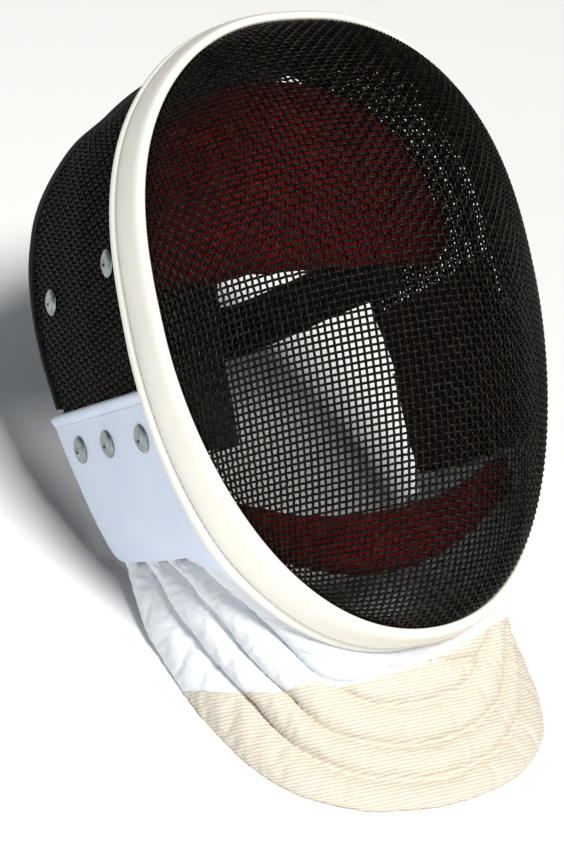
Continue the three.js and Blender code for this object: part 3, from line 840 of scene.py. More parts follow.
@dataclass(frozen=True)
class Vinyl:
    """Coated cloth, with a faint grain and slow changes of tone."""

    name: str
    slot: str
    pale: Colour
    deep: Colour
    roughness: tuple[float, float] = (0.36, 0.5)
    grain: float = 900.0
    grain_depth: float = 0.00005
    tone_scale: float = 22.0
    gloss_scale: float = 60.0

    def make(self) -> bpy.types.Material:
        """Build the material.

        Returns:
            The material.
        """
        shade = Shade(self.name, Coat_Weight=0.15, Coat_Roughness=0.35)
        places = shade.object_places()
        tone = shade.noise(places, self.tone_scale, 3.0)
        shade.feed("Base Color", shade.ramp(tone, (0.3, self.deep), (0.7, self.pale)))
        gloss = shade.noise(places, self.gloss_scale, 3.0)
        shade.feed("Roughness", shade.span(gloss, *self.roughness))
        shade.relief(shade.noise(places, self.grain, 4.0), self.grain_depth)
        return shade.material


@dataclass(frozen=True)
class WovenCloth:
    """Plain woven cloth, with its two sets of threads and soft tone changes."""

    name: str
    slot: str
    pale: Colour
    deep: Colour
    pitch: float = 0.0008
    depth: float = 0.00012
    sheen: float = 0.2
    roughness: float = 0.85
    weave_share: float = 0.35
    tone_scale: float = 30.0

    def make(self) -> bpy.types.Material:
        """Build the material.

        Returns:
            The material.
        """
        shade = Shade(self.name, Roughness=self.roughness, Sheen_Weight=self.sheen, Sheen_Roughness=0.5)
        places = shade.cloth_places()
        across = shade.bands(places, self.pitch, "X", 0.6)
        along = shade.bands(places, self.pitch, "Y", 0.6)
        weave = shade.maths("MULTIPLY", across, along)
        tone = shade.noise(shade.object_places(), self.tone_scale, 4.0)
        woven = shade.maths("MULTIPLY", weave, self.weave_share)
        mixed = shade.maths("ADD", woven, shade.maths("MULTIPLY", tone, 1 - self.weave_share))
        shade.feed("Base Color", shade.ramp(mixed, (0.25, self.deep), (0.6, self.pale)))
        shade.relief(shade.maths("ADD", weave, shade.maths("MULTIPLY", tone, 0.5)), self.depth)
        return shade.material


@dataclass(frozen=True)
class RibbedKnit:
    """Cream cloth with fine level ribs, painted shade between them, and a speckle of single threads."""

    name: str = "cream_knit"
    slot: str = "cream_cloth"
    crest: Colour = (0.77, 0.7, 0.6)
    # The groove colour is painted shade between the ribs; the crest colour is the cloth's own.
    groove: Colour = (0.54, 0.51, 0.44)
    speck: Colour = (0.72, 0.61, 0.48)
    pitch: float = 0.0017
    depth: float = 0.00028
    loop_pitch: float = 0.00102
    rib_share: float = 0.75
    speck_scale: float = 700.0
    speck_share: float = 0.55

    def make(self) -> bpy.types.Material:
        """Build the material.

        Returns:
            The material.
        """
        shade = Shade(self.name, Roughness=0.9, Sheen_Weight=0.25, Sheen_Roughness=0.5)
        places = shade.cloth_places()
        ribs = shade.bands(places, self.pitch, "Y", 0.5)
        loops = shade.bands(places, self.loop_pitch, "X", 1.0)
        ribbed = shade.maths("MULTIPLY", ribs, self.rib_share)
        knit = shade.maths("ADD", ribbed, shade.maths("MULTIPLY", loops, 1 - self.rib_share))
        # Low places of the ribs and loops take the painted shade colour.
        tone = shade.ramp(knit, (0.12, self.groove), (0.55, self.crest))
        specks = shade.noise(places, self.speck_scale, 2.0)
        mixed = shade.add("ShaderNodeMix", data_type="RGBA", blend_type="MIX")
        share = shade.ramp(specks, (0.5, (0, 0, 0)), (0.68, (self.speck_share,) * 3))
        shade.tree.links.new(share, mixed.inputs[0])
        shade.tree.links.new(tone, mixed.inputs[6])
        mixed.inputs[7].default_value = (*self.speck, 1)
        shade.feed("Base Color", mixed.outputs[2])
        shade.relief(shade.maths("ADD", knit, shade.maths("MULTIPLY", specks, 0.4)), self.depth)
        return shade.material


@dataclass(frozen=True)
class Steel:
    """Plated steel, with fine scratches and dull spots."""

    name: str = "plated_steel"
    slot: str = "steel"
    bright: Colour = (0.42, 0.46, 0.45)
    dull: Colour = (0.22, 0.25, 0.25)
    roughness: tuple[float, float] = (0.28, 0.46)
    spot_scale: float = 300.0
    gloss_scale: float = 900.0
    scratch_scale: float = 2500.0
    scratch_depth: float = 0.00002

    def make(self) -> bpy.types.Material:
        """Build the material.

        Returns:
            The material.
        """
        shade = Shade(self.name, Metallic=1.0)
        places = shade.object_places()
        spots = shade.noise(places, self.spot_scale, 4.0)
        shade.feed("Base Color", shade.ramp(spots, (0.3, self.dull), (0.7, self.bright)))
        shade.feed("Roughness", shade.span(shade.noise(places, self.gloss_scale), *self.roughness))
        shade.relief(shade.noise(places, self.scratch_scale), self.scratch_depth)
        return shade.material


@dataclass(frozen=True)
class Plush:
    """Soft pile on a pad, mottled where it is brushed the other way."""

    name: str
    slot: str
    pale: Colour
    deep: Colour
    sheen: float = 0.4
    brush_scale: float = 45.0
    pile_scale: float = 1400.0
    pile_depth: float = 0.0003

    def make(self) -> bpy.types.Material:
        """Build the material.

        Returns:
            The material.
        """
        shade = Shade(self.name, Roughness=0.95, Sheen_Weight=self.sheen, Sheen_Roughness=0.4)
        places = shade.object_places()
        brushed = shade.noise(places, self.brush_scale, 5.0)
        shade.feed("Base Color", shade.ramp(brushed, (0.35, self.deep), (0.65, self.pale)))
        shade.relief(shade.noise(places, self.pile_scale, 3.0), self.pile_depth)
        return shade.material


@dataclass(frozen=True)
class Pavement:
    """The pale floor under the mask."""

    name: str = "pale_floor"
    pale: Colour = (0.93, 0.93, 0.93)

    def make(self) -> bpy.types.Material:
        """Build the material."""
        colour = (*self.pale, 1)
        return Shade(self.name, Base_Color=colour, Roughness=0.9, Specular_IOR_Level=0.1).material


class Finish(Enum):
    """The mask's finishes."""

    WIRE = WirePaint()
    TRIM = Vinyl("cream_vinyl", "cream_vinyl", (0.9, 0.87, 0.79), (0.84, 0.81, 0.74))
    # The vinyl is white; its blue tint is painted cool shade.
    BAND = Vinyl("white_vinyl", "white_vinyl", (0.71, 0.78, 0.9), (0.65, 0.72, 0.86))
    BIB = WovenCloth("white_cloth", "white_cloth", (0.88, 0.89, 0.91), (0.8, 0.82, 0.85))
    COVER = RibbedKnit()
    RIVET = Steel()
    RED = Plush("red_plush", "red_pad", (0.3, 0.005, 0.004), (0.17, 0.003, 0.0025), 0.06)
    # A darker copy of the red plush: painted shade on the cheek pads, whose own pile is red.
    DARK = Plush("dark_plush", "dark_pad", (0.035, 0.004, 0.004), (0.016, 0.003, 0.003), 0.05)
    WEBBING = WovenCloth(
        "black_webbing", "black_cloth", (0.03, 0.03, 0.033), (0.012, 0.012, 0.014), 0.0016, 0.0003
    )
    EDGING = WovenCloth("black_piping", "piping", (0.02, 0.02, 0.021), (0.008, 0.008, 0.009), 0.001)
    THREAD = Vinyl("thread", "white_cloth", (0.8, 0.8, 0.8), (0.7, 0.7, 0.72), (0.7, 0.8))


class Workshop:
    """Makes each finish and tree once, and dresses the pieces."""

    def __init__(self) -> None:
        """Make every finish, and the trees that sweep wires, seat shapes and lay stitches."""
        self.materials = {finish: finish.value.make() for finish in Finish}
        self.wires = wire_tree()
        self.seats = seated_tree()
        self.stitches = stitch_tree()

    def dress(self, made: bpy.types.Object, finish: Finish, *nodes: str) -> None:
        """Give a piece its finish, its body and the solids that it stands for.

        Args:
            made: The piece, in place.
            finish: Its finish.
            *nodes: The names of the solids that it replaces.
        """
        made.data.materials.clear()
        made.data.materials.append(self.materials[finish])
        if nodes:
            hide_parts(*nodes)
        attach(made, ROOT)
        log.info("%s: %d faces", made.name, len(made.data.polygons))

    def weave(self, name: str, lines: list[np.ndarray], wire: float, sides: int, node: str) -> None:
        """Sweep a wire along lines, and dress it.

        Args:
            name: The piece's name.
            lines: The wires' middle lines, in the mask's own frame.
            wire: The wire's radius, in millimetres.
            sides: How many sides the wire has.
            node: The solid that the piece replaces.
        """
        made = line_object(name, lines)
        paint = self.materials[Finish.WIRE]
        self.wires.run(made, Radius=wire * MILLIMETRE, Sides=sides, Material=paint)
        self.dress(made, Finish.WIRE, node)


# Woven wire
@dataclass
class WireFace:
    """The domed face: two families of crossing wires that keep one pitch all over the dome."""

    depth: float = 85.0
    centre: float = -2.0
    root: float = 1.4
    side_power: float = 2.08
    crown_power: float = 1.75
    chin_power: float = 1.85
    inset: float = 1.0
    pitch: float = 3.1
    wire: float = 0.63
    wave: float = 0.6
    sides: int = 5
    skirt: float = 4.5
    most: int = 72
    edge_steps: int = 1200
    nudge: float = 0.02
    walk_end: float = 12.0
    walk_rounds: int = 6
    net_end: float = 16.0
    net_rounds: int = 9
    level_weight: float = 50.0
    close: float = 0.02

    def __post_init__(self) -> None:
        """Measure the dome's edge by its angle round the centre."""
        share = np.linspace(-0.5, 0.5, self.edge_steps + 1)[:-1]
        edge = SHELL.ring(share) - SHELL.outward(share) * self.inset
        x, z = edge[:, 0], edge[:, 2] - self.centre
        angle, reach = np.arctan2(-x, z), np.hypot(x, z)
        upright = np.where(edge[:, 2] > 0, self.crown_power, self.chin_power)
        power = mix(upright, self.side_power, (x / reach) ** 2)
        order = np.argsort(angle)
        rows = np.stack([angle, reach, edge[:, 1], power])[:, order]
        shift = np.array([[2 * math.pi], [0], [0], [0]])
        self.edge_rows = np.hstack([rows[:, -2:] - shift, rows, rows[:, :2] + shift])

    def edge_at(self, points: np.ndarray) -> tuple[np.ndarray, ...]:
        """Return the dome's reach, edge depth and power in the direction of each point."""
        angle = np.arctan2(-points[..., 0], points[..., 2] - self.centre)
        return tuple(np.interp(angle, self.edge_rows[0], row) for row in self.edge_rows[1:])

    def level(self, points: np.ndarray) -> np.ndarray:
        """Measure how far points are off the dome.

        Args:
            points: Points, in the mask's own frame.

        Returns:
            0 on the dome and its skirt, and more outside it.
        """
        reach, edge, power = self.edge_at(points)
        share = np.hypot(points[..., 0], points[..., 2] - self.centre) / reach
        swell = (share * share * edge - points[..., 1]) / (self.depth - self.inset)
        return np.maximum(swell, 0) ** self.root + share**power - 1

    def slope(self, points: np.ndarray) -> np.ndarray:
        """Measure the slope of the level.

        Args:
            points: Points, in the mask's own frame.

        Returns:
            How the level changes along each axis.
        """
        steps = np.eye(3) * self.nudge
        rises = [self.level(points + step) - self.level(points - step) for step in steps]
        return np.stack(rises, -1) / (2 * self.nudge)

    def middle_wire(self, axis: int, sign: int) -> np.ndarray:
        """Walk along the dome from its middle, one pitch at a time.

        Args:
            axis: 0 for the level plane, 2 for the upright one.
            sign: The direction along that axis.

        Returns:
            The crossings, from the middle to the skirt.
        """
        points = [np.array([0.0, self.inset - self.depth, self.centre])]
        ahead = np.zeros(3)
        ahead[axis] = sign
        free = [axis, 1]
        for _ in range(self.most):
            point = points[-1] + ahead * self.pitch
            for _ in range(self.walk_rounds):
                step = point - points[-1]
                rows = np.array([self.slope(point)[free], 2 * step[free]])
                wanted = -np.array([self.level(point), step @ step - self.pitch**2])
                point[free] += np.linalg.solve(rows, wanted)
            ahead = (point - points[-1]) / self.pitch
            points.append(point)
            if point[1] > self.walk_end:
                break
        return np.array(points)

    def quarter(self, up: int) -> np.ndarray:
        """Lay the net over a quarter of the dome on the wearer's left.

        Args:
            up: 1 towards the crown, -1 towards the chin.

        Returns:
            The crossings, by wire across and wire up, with nan where the net has ended.
        """
        level, upright = self.middle_wire(0, 1), self.middle_wire(2, up)
        net = np.full((len(level), len(upright), 3), np.nan)
        net[:, 0], net[0, :] = level, upright
        for k in range(2, len(level) + len(upright) - 1):
            i = np.arange(1, len(level))
            i = i[(k - i >= 1) & (k - i < len(upright))]
            j = k - i
            before, below, corner = net[i - 1, j], net[i, j - 1], net[i - 1, j - 1]
            known = np.isfinite(before[:, 0] + below[:, 0])
            if not known.any():
                continue
            i, j, before, below, corner = (v[known] for v in (i, j, before, below, corner))
            point = before + below - corner
            for _ in range(self.net_rounds):
                first, second = point - before, point - below
                across = self.slope(point) * self.level_weight
                rows = np.stack([across, 2 * first / self.pitch, 2 * second / self.pitch], 1)
                off = [self.level(point) * self.level_weight]
                off += [((v**2).sum(-1) - self.pitch**2) / self.pitch for v in (first, second)]
                move = np.linalg.solve(rows, -np.stack(off, 1)[..., None])[..., 0]
                length = np.linalg.norm(move, axis=1, keepdims=True)
                point = point + move / np.maximum(1, length)
            good = (np.abs(self.level(point)) < self.close) & (point[:, 1] < self.net_end)
            net[i[good], j[good]] = point[good]
        return net

    def crossings(self) -> np.ndarray:
        """Join the quarters into the whole net.

        Returns:
            The crossings, by wire across and wire up.
        """
        high, low = self.quarter(1), self.quarter(-1)
        rows = max(len(high), len(low))
        left = np.full((rows, high.shape[1] + low.shape[1] - 1, 3), np.nan)
        left[: len(low), : low.shape[1]] = low[:, ::-1]
        left[: len(high), low.shape[1] - 1 :] = high
        right = left[:0:-1] * (-1, 1, 1)
        return np.vstack([right, left])

    def run(self, points: np.ndarray, phase: int, lift: int) -> list[np.ndarray]:
        """Turn one row of crossings into the wavy lines of a wire.

        Args:
            points: The row's crossings, with nan beyond the net.
            phase: The row's own number, which says where the wire goes over.
            lift: 1 for the wires that go over first, -1 for the others.

        Returns:
            The wire's middle line, cut where the skirt ends.
        """
        known = np.isfinite(points[:, 0])
        if known.sum() < 3:
            return []
        first = int(np.argmax(known))
        points = points[first : first + int(known.sum())]
        numbers = np.arange(first, first + len(points))
        outward = unit(self.slope(points))
        over = np.where((numbers + phase) % 2 == 0, 1, -1) * lift * self.wave
        crests = points + outward * over[:, None]
        line = np.empty((2 * len(points) - 1, 3))
        line[::2] = crests
        line[1::2] = (points[:-1] + points[1:]) / 2
        behind = line[:, 1] - self.edge_at(line)[1]
        kept = np.flatnonzero(behind < self.skirt)
        if len(kept) < 3:
            return []
        return [line[kept[0] : kept[-1] + 1]]

    def build(self, shop: Workshop) -> None:
        """Weave the face and dress its two families of wires.

        Args:
            shop: The finishes and the trees.
        """
        net = self.crossings()
        upright = [line for i in range(net.shape[0]) for line in self.run(net[i], i, 1)]
        level = [line for j in range(net.shape[1]) for line in self.run(net[:, j], j, -1)]
        for name, lines in (("face_upright_wires", upright), ("face_level_wires", level)):
            shop.weave(name, lines, self.wire, self.sides, "front_mesh")


MESH_REAR = Table(
    [
        (0, 74),
        (0.05, 80),
        (0.08, 88),
        (0.107, 109),
        (0.1255, 125),
        (0.1455, 137),
        (0.169, 142),
        (0.19, 143.3),
        (0.22, 139.6),
        (0.26, 131),
        (0.315, 127),
    ]
)


@dataclass
class WireSide:
    """The wire side over the crown, and the black tape along its rear edge."""

    start: float = 7.0
    end_share: float = 0.315
    pitch: float = 3.1
    middle: float = -1.0
    wire: float = 0.76
    wave: float = 0.6
    sides: int = 5
    tape: float = 3.2
    tape_in: float = -2.0
    tape_out: float = 1.5
    tape_end: float = 0.2555
    tape_steps: int = 420
    tape_sides: int = 18
    tape_squareness: float = 0.45
    tape_girth: float = 11.0

    def build(self, shop: Workshop) -> None:
        """Weave the side, bind its rear edge and dress both.

        Args:
            shop: The finishes and the trees.
        """
        ways = 2 * round(self.end_share * SHELL.length / self.pitch)
        shares = np.linspace(-self.end_share, self.end_share, 2 * ways + 1)
        deepest = int((MESH_REAR.values.max() - self.start) / self.pitch * 2) + 1
        backs = self.start + np.arange(deepest) * self.pitch / 2
        (rear,) = MESH_REAR.at(shares)
        rear = rear - self.tape - GAP
        rows, columns = np.arange(len(shares)), np.arange(len(backs))
        crossing = (rows[:, None] // 2 + columns[None, :] // 2) % 2 * 2 - 1
        at_back = self.wave * crossing * (columns[None, :] % 2 == 0)
        at_share = -self.wave * crossing * (rows[:, None] % 2 == 0)
        along = self.points(shares, backs, at_back)
        around = self.points(shares, backs, at_share)
        kept = backs[None, :] < rear[:, None]
        deep = [along[i][kept[i]] for i in range(0, len(shares), 2) if kept[i].sum() > 2]
        wide = [
            around[start:end, j]
            for j in range(0, len(backs), 2)
            for start, end in self.spans(kept[:, j])
            if end - start > 2
        ]
        for name, lines in (("side_deep_wires", deep), ("side_wide_wires", wide)):
            shop.weave(name, lines, self.wire, self.sides, "side_mesh")
        self.bind(shop)

    def points(self, shares: np.ndarray, backs: np.ndarray, wave: np.ndarray) -> np.ndarray:
        """Return the grid of points in the wires' middle layer, moved by the wave."""
        return SHELL.skin(shares[:, None], backs[None, :], self.middle + wave)

    def spans(self, kept: np.ndarray) -> list[tuple[int, int]]:
        """Return the first and last numbers of each unbroken run."""
        marks = np.flatnonzero(np.diff(np.concatenate([[0], kept.astype(int), [0]])))
        return list(zip(marks[::2].tolist(), marks[1::2].tolist()))

    def bind(self, shop: Workshop) -> None:
        """Wrap the tape round the rear edge.

        Args:
            shop: The finishes and the trees.
        """
        shares = np.linspace(-self.tape_end, self.tape_end, self.tape_steps + 1)
        (rear,) = MESH_REAR.at(shares)
        angles = np.linspace(0, 2 * math.pi, self.tape_sides + 1)[:-1]
        middle, half = (self.tape_in + self.tape_out) / 2, (self.tape_out - self.tape_in) / 2
        widest = np.maximum(np.abs(np.cos(angles)), np.abs(np.sin(angles)))
        square = 1 / widest**self.tape_squareness
        back = (rear - self.tape / 2)[:, None] + np.cos(angles) * square * self.tape / 2
        lift = middle + np.sin(angles) * square * half * np.ones((len(shares), 1))
        points = SHELL.skin(shares[:, None], back, lift)
        around = np.linspace(0, self.tape_girth, self.tape_sides + 1)
        places = np.stack(np.broadcast_arrays((shares * SHELL.length)[:, None], around[None, :]), -1)
        made = grid_object("rear_tape", points, False, True, True, places * MILLIMETRE)
        shop.dress(made, Finish.EDGING, "rear_edging")


# Rim and jaw band
@dataclass
class Rim:
    """The padded rim: a smooth band with a narrow rolled strip behind its seam."""

    steps: int = 400
    lip: tuple = ((-1.5, 0.3), (-2.1, 0.9), (-2.4, 1.9), (-2.2, 3.0), (-1.5, 3.9), (-0.4, 4.5))
    band: tuple = (
        (1.2, 4.1),
        (3, 4.25),
        (6, 4.4),
        (9, 4.5),
        (12, 4.5),
        (14.2, 4.3),
        (16.0, 3.95),
        (17.0, 3.4),
        (17.6, 2.85),
        (18.1, 2.85),
        (18.6, 3.5),
        (19.6, 4.15),
        (20.8, 4.35),
        (22.0, 4.2),
        (23.2, 3.7),
        (24.0, 2.9),
        (24.0, 2.6),
        (16, 2.6),
        (8, 2.6),
    )
    inner: tuple = (5.5, 0.3)

    def build(self, shop: Workshop) -> None:
        """Build the rim and dress it.

        Args:
            shop: The finishes and the trees.
        """
        shares = np.arange(self.steps)[:, None] / self.steps
        lip, band = np.array(self.lip), np.array(self.band)
        points = np.concatenate(
            [
                SHELL.near_ring(shares, lip[None, :, 0], lip[None, :, 1]),
                SHELL.skin(shares, band[None, :, 0], band[None, :, 1]),
                SHELL.near_ring(shares, np.array([[self.inner[0]]]), self.inner[1]),
            ],
            1,
        )
        made = grid_object("rim", points, True, True)
        shop.dress(made, Finish.TRIM, "trim")


@dataclass
class JawBand:
    """The white band round the jaw, with a tab that rises on each side to a folded hem."""

    outline: tuple = (
        (0.2746, 0.2577, 138),
        (0.279, 0.264, 136.7),
        (0.318, 0.3048, 129),
        (0.357, 0.3495, 125.8),
        (0.361, 0.3542, 124.2),
        (0.3635, 0.358, 119.5),
        (0.3665, 0.3625, 98),
        (0.3697, 0.3665, 76),
        (0.3735, 0.3703, 49),
        (0.3824, 0.3824, 33),
        (0.401, 0.401, 28),
        (0.42, 0.42, 25.5),
        (0.45, 0.45, 23),
        (0.5, 0.5, 22),
    )
    start: float = 14.0
    top_reach: float = 138.0
    wall: float = 1.5
    hem: float = 5.2
    hem_rise: float = 1.3
    edge: float = 0.9
    step: float = 0.0022
    hem_fold: float = 0.9
    edge_wall: float = 0.25
    wide_steps: int = 22
    last_part: float = 0.1
    last_steps: tuple = (0.7, 0.45, 0.25, 0.12, 0.04, 0)

    def top_edge(self, back: np.ndarray) -> np.ndarray:
        """Return the ring shares of the tab's top edge at distances behind the ring."""
        return mix(*self.outline[0][:2], (back - self.start) / (self.top_reach - self.start))

    def rows(self) -> np.ndarray:
        """Space lines across the band finely, from the tab's top to the chin.

        Returns:
            Front share, rear share and reach of each line.
        """
        outline = np.array(self.outline)
        found = [outline[:1]]
        for a, b in zip(outline, outline[1:]):
            count = max(2, math.ceil(abs(b[1] - a[1]) / self.step))
            found.append(mix(a, b, np.arange(1, count + 1)[:, None] / count))
        return np.vstack(found)

    def build(self, shop: Workshop) -> None:
        """Build the band and dress it.

        Args:
            shop: The finishes and the trees.
        """
        half = self.rows()
        sign = np.concatenate([np.ones(len(half)), -np.ones(len(half) - 1)])
        rows = np.vstack([half, half[-2::-1]])
        front, rear, reach = (rows[:, k, None] for k in range(3))
        wide = np.linspace(0, 1 - self.last_part, self.wide_steps)
        u = np.concatenate([wide, 1 - self.last_part * np.array(self.last_steps)])
        back = mix(self.start, reach, u[None, :])
        share = mix(front, rear, u[None, :])
        top = self.top_edge(back)
        below = (share - top) * SHELL.length
        behind = (reach - back) * np.ones_like(below)
        edge = np.minimum(np.minimum(below, behind) / self.edge, 1)
        round_edge = np.sqrt(np.clip(1 - (1 - np.maximum(edge, 0)) ** 2, 0, 1))
        hem = self.hem_rise * (1 - ease(self.hem - self.hem_fold, self.hem, below))
        lift = GAP + self.wall * mix(self.edge_wall, 1.0, round_edge) + hem * round_edge
        outer = SHELL.skin(sign[:, None] * share, back, lift)
        inner = SHELL.skin(sign[:, None] * share, back, np.full_like(lift, GAP))
        points = np.concatenate([outer, inner[:, ::-1]], 1)
        made = grid_object("jaw_band_cover", points, False, True, True)
        shop.dress(made, Finish.BAND, "jaw_band")


@dataclass
class Stitches:
    """Thread stitches along the rim's seam and along the folded hem of each tab."""

    spacing: float = 3.4
    seam_back: float = 17.85
    seam_lift: float = 3.0
    hem_below: float = 6.4
    hem_reach: tuple = (26.0, 134.0)
    hem_lift: float = 1.95
    seam_steps: int = 400
    hem_steps: int = 80
    sides: int = 6
    profile: tuple = ((0, -1.15), (0.2, -1.0), (0.3, -0.5), (0.3, 0.5), (0.2, 1.0), (0, 1.15))

    def build(self, shop: Workshop) -> None:
        """Lay both rows and dress them.

        Args:
            shop: The finishes and the trees.
        """
        stitch = lathe_shape("stitch", self.profile, self.sides)
        lengthwise = vertex_places(stitch.data)[:, [2, 1, 0]] * (1, 1, -1)
        stitch.data.vertices.foreach_set("co", lengthwise.astype(np.float32).ravel())
        shares = np.linspace(0, 1, self.seam_steps)
        back = np.linspace(*self.hem_reach, self.hem_steps)
        hem = JawBand().top_edge(back) + self.hem_below / SHELL.length
        rows = {
            "rim_stitches": [(shares, np.full_like(shares, self.seam_back), self.seam_lift)],
            "hem_stitches": [(side.value * hem, back, self.hem_lift) for side in Side],
        }
        for name, lines in rows.items():
            points = [SHELL.skin(*line) for line in lines]
            away = [SHELL.outward(line[0]) for line in lines]
            made = line_object(name, points, away)
            shop.stitches.run(
                made,
                Stitch=stitch,
                Spacing=self.spacing * MILLIMETRE,
                Material=shop.materials[Finish.THREAD],
            )
            shop.dress(made, Finish.THREAD)


@dataclass
class Rivets:
    """Domed steel rivets with a small pit and the stub of a pin in it."""

    band: float = 2.1
    sides: int = 28
    nudge: tuple = (0.004, 4.0)
    tab: tuple = ((0.2859, 111.8), (0.2911, 78.1), (0.2983, 38.6))
    mesh: tuple = ((0.1944, 38.0), (0.1915, 116.2))
    tongue: tuple = ((0.022, 52.0),)
    profile: tuple = (
        (0, 1.45),
        (0.45, 1.4),
        (0.8, 1.0),
        (1.2, 0.95),
        (1.45, 1.5),
        (1.75, 1.9),
        (2.7, 1.88),
        (4.1, 1.62),
        (5.3, 1.22),
        (6.2, 0.72),
        (6.65, 0.38),
        (6.75, 0.12),
        (6.7, 0),
        (0, 0),
    )

    def outward(self, share: np.ndarray, back: float, lift: float) -> np.ndarray:
        """Find which way a rivet faces.

        Args:
            share: The seat's arc share.
            back: Its distance behind the ring.
            lift: How far it stands off the wall.

        Returns:
            The direction square to the wall there.
        """
        along, across = (
            SHELL.skin(share + s, back + b, lift) - SHELL.skin(share - s, back - b, lift)
            for s, b in ((self.nudge[0], 0), (0, self.nudge[1]))
        )
        normal = unit(np.cross(along, across))
        return normal if normal @ SHELL.outward(share) > 0 else -normal

    def build(self, shop: Workshop) -> None:
        """Seat the rivets on the band and the wire side.

        Args:
            shop: The finishes and the trees.
        """
        head = lathe_shape("rivet_head", self.profile, self.sides)
        groups = (
            ("tab_rivets", self.tab, self.band, ("rear", "middle", "front"), "tab_rivet_"),
            ("side_rivets", self.mesh, GAP, ("front", "rear"), "mesh_rivet_"),
            ("tongue_rivets", self.tongue, GAP, ("",), "tongue_rivet"),
        )
        for name, seats, lift, places, stem in groups:
            points, outward = [], []
            for side in Side:
                for share, back in seats:
                    here = np.array(side.value * share)
                    points.append(SHELL.skin(here, back, lift))
                    outward.append(self.outward(here, back, lift))
            made = new_object(name, stand(np.array(points)), [], [])
            layer = made.data.attributes.new("outward", "FLOAT_VECTOR", "POINT")
            layer.data.foreach_set("vector", turn(np.array(outward)).astype(np.float32).ravel())
            shop.seats.run(made, Shape=head, Material=shop.materials[Finish.RIVET])
            nodes = [f"{stem}{place}_{side.name.lower()}" for place in places for side in Side]
            shop.dress(made, Finish.RIVET, *nodes)


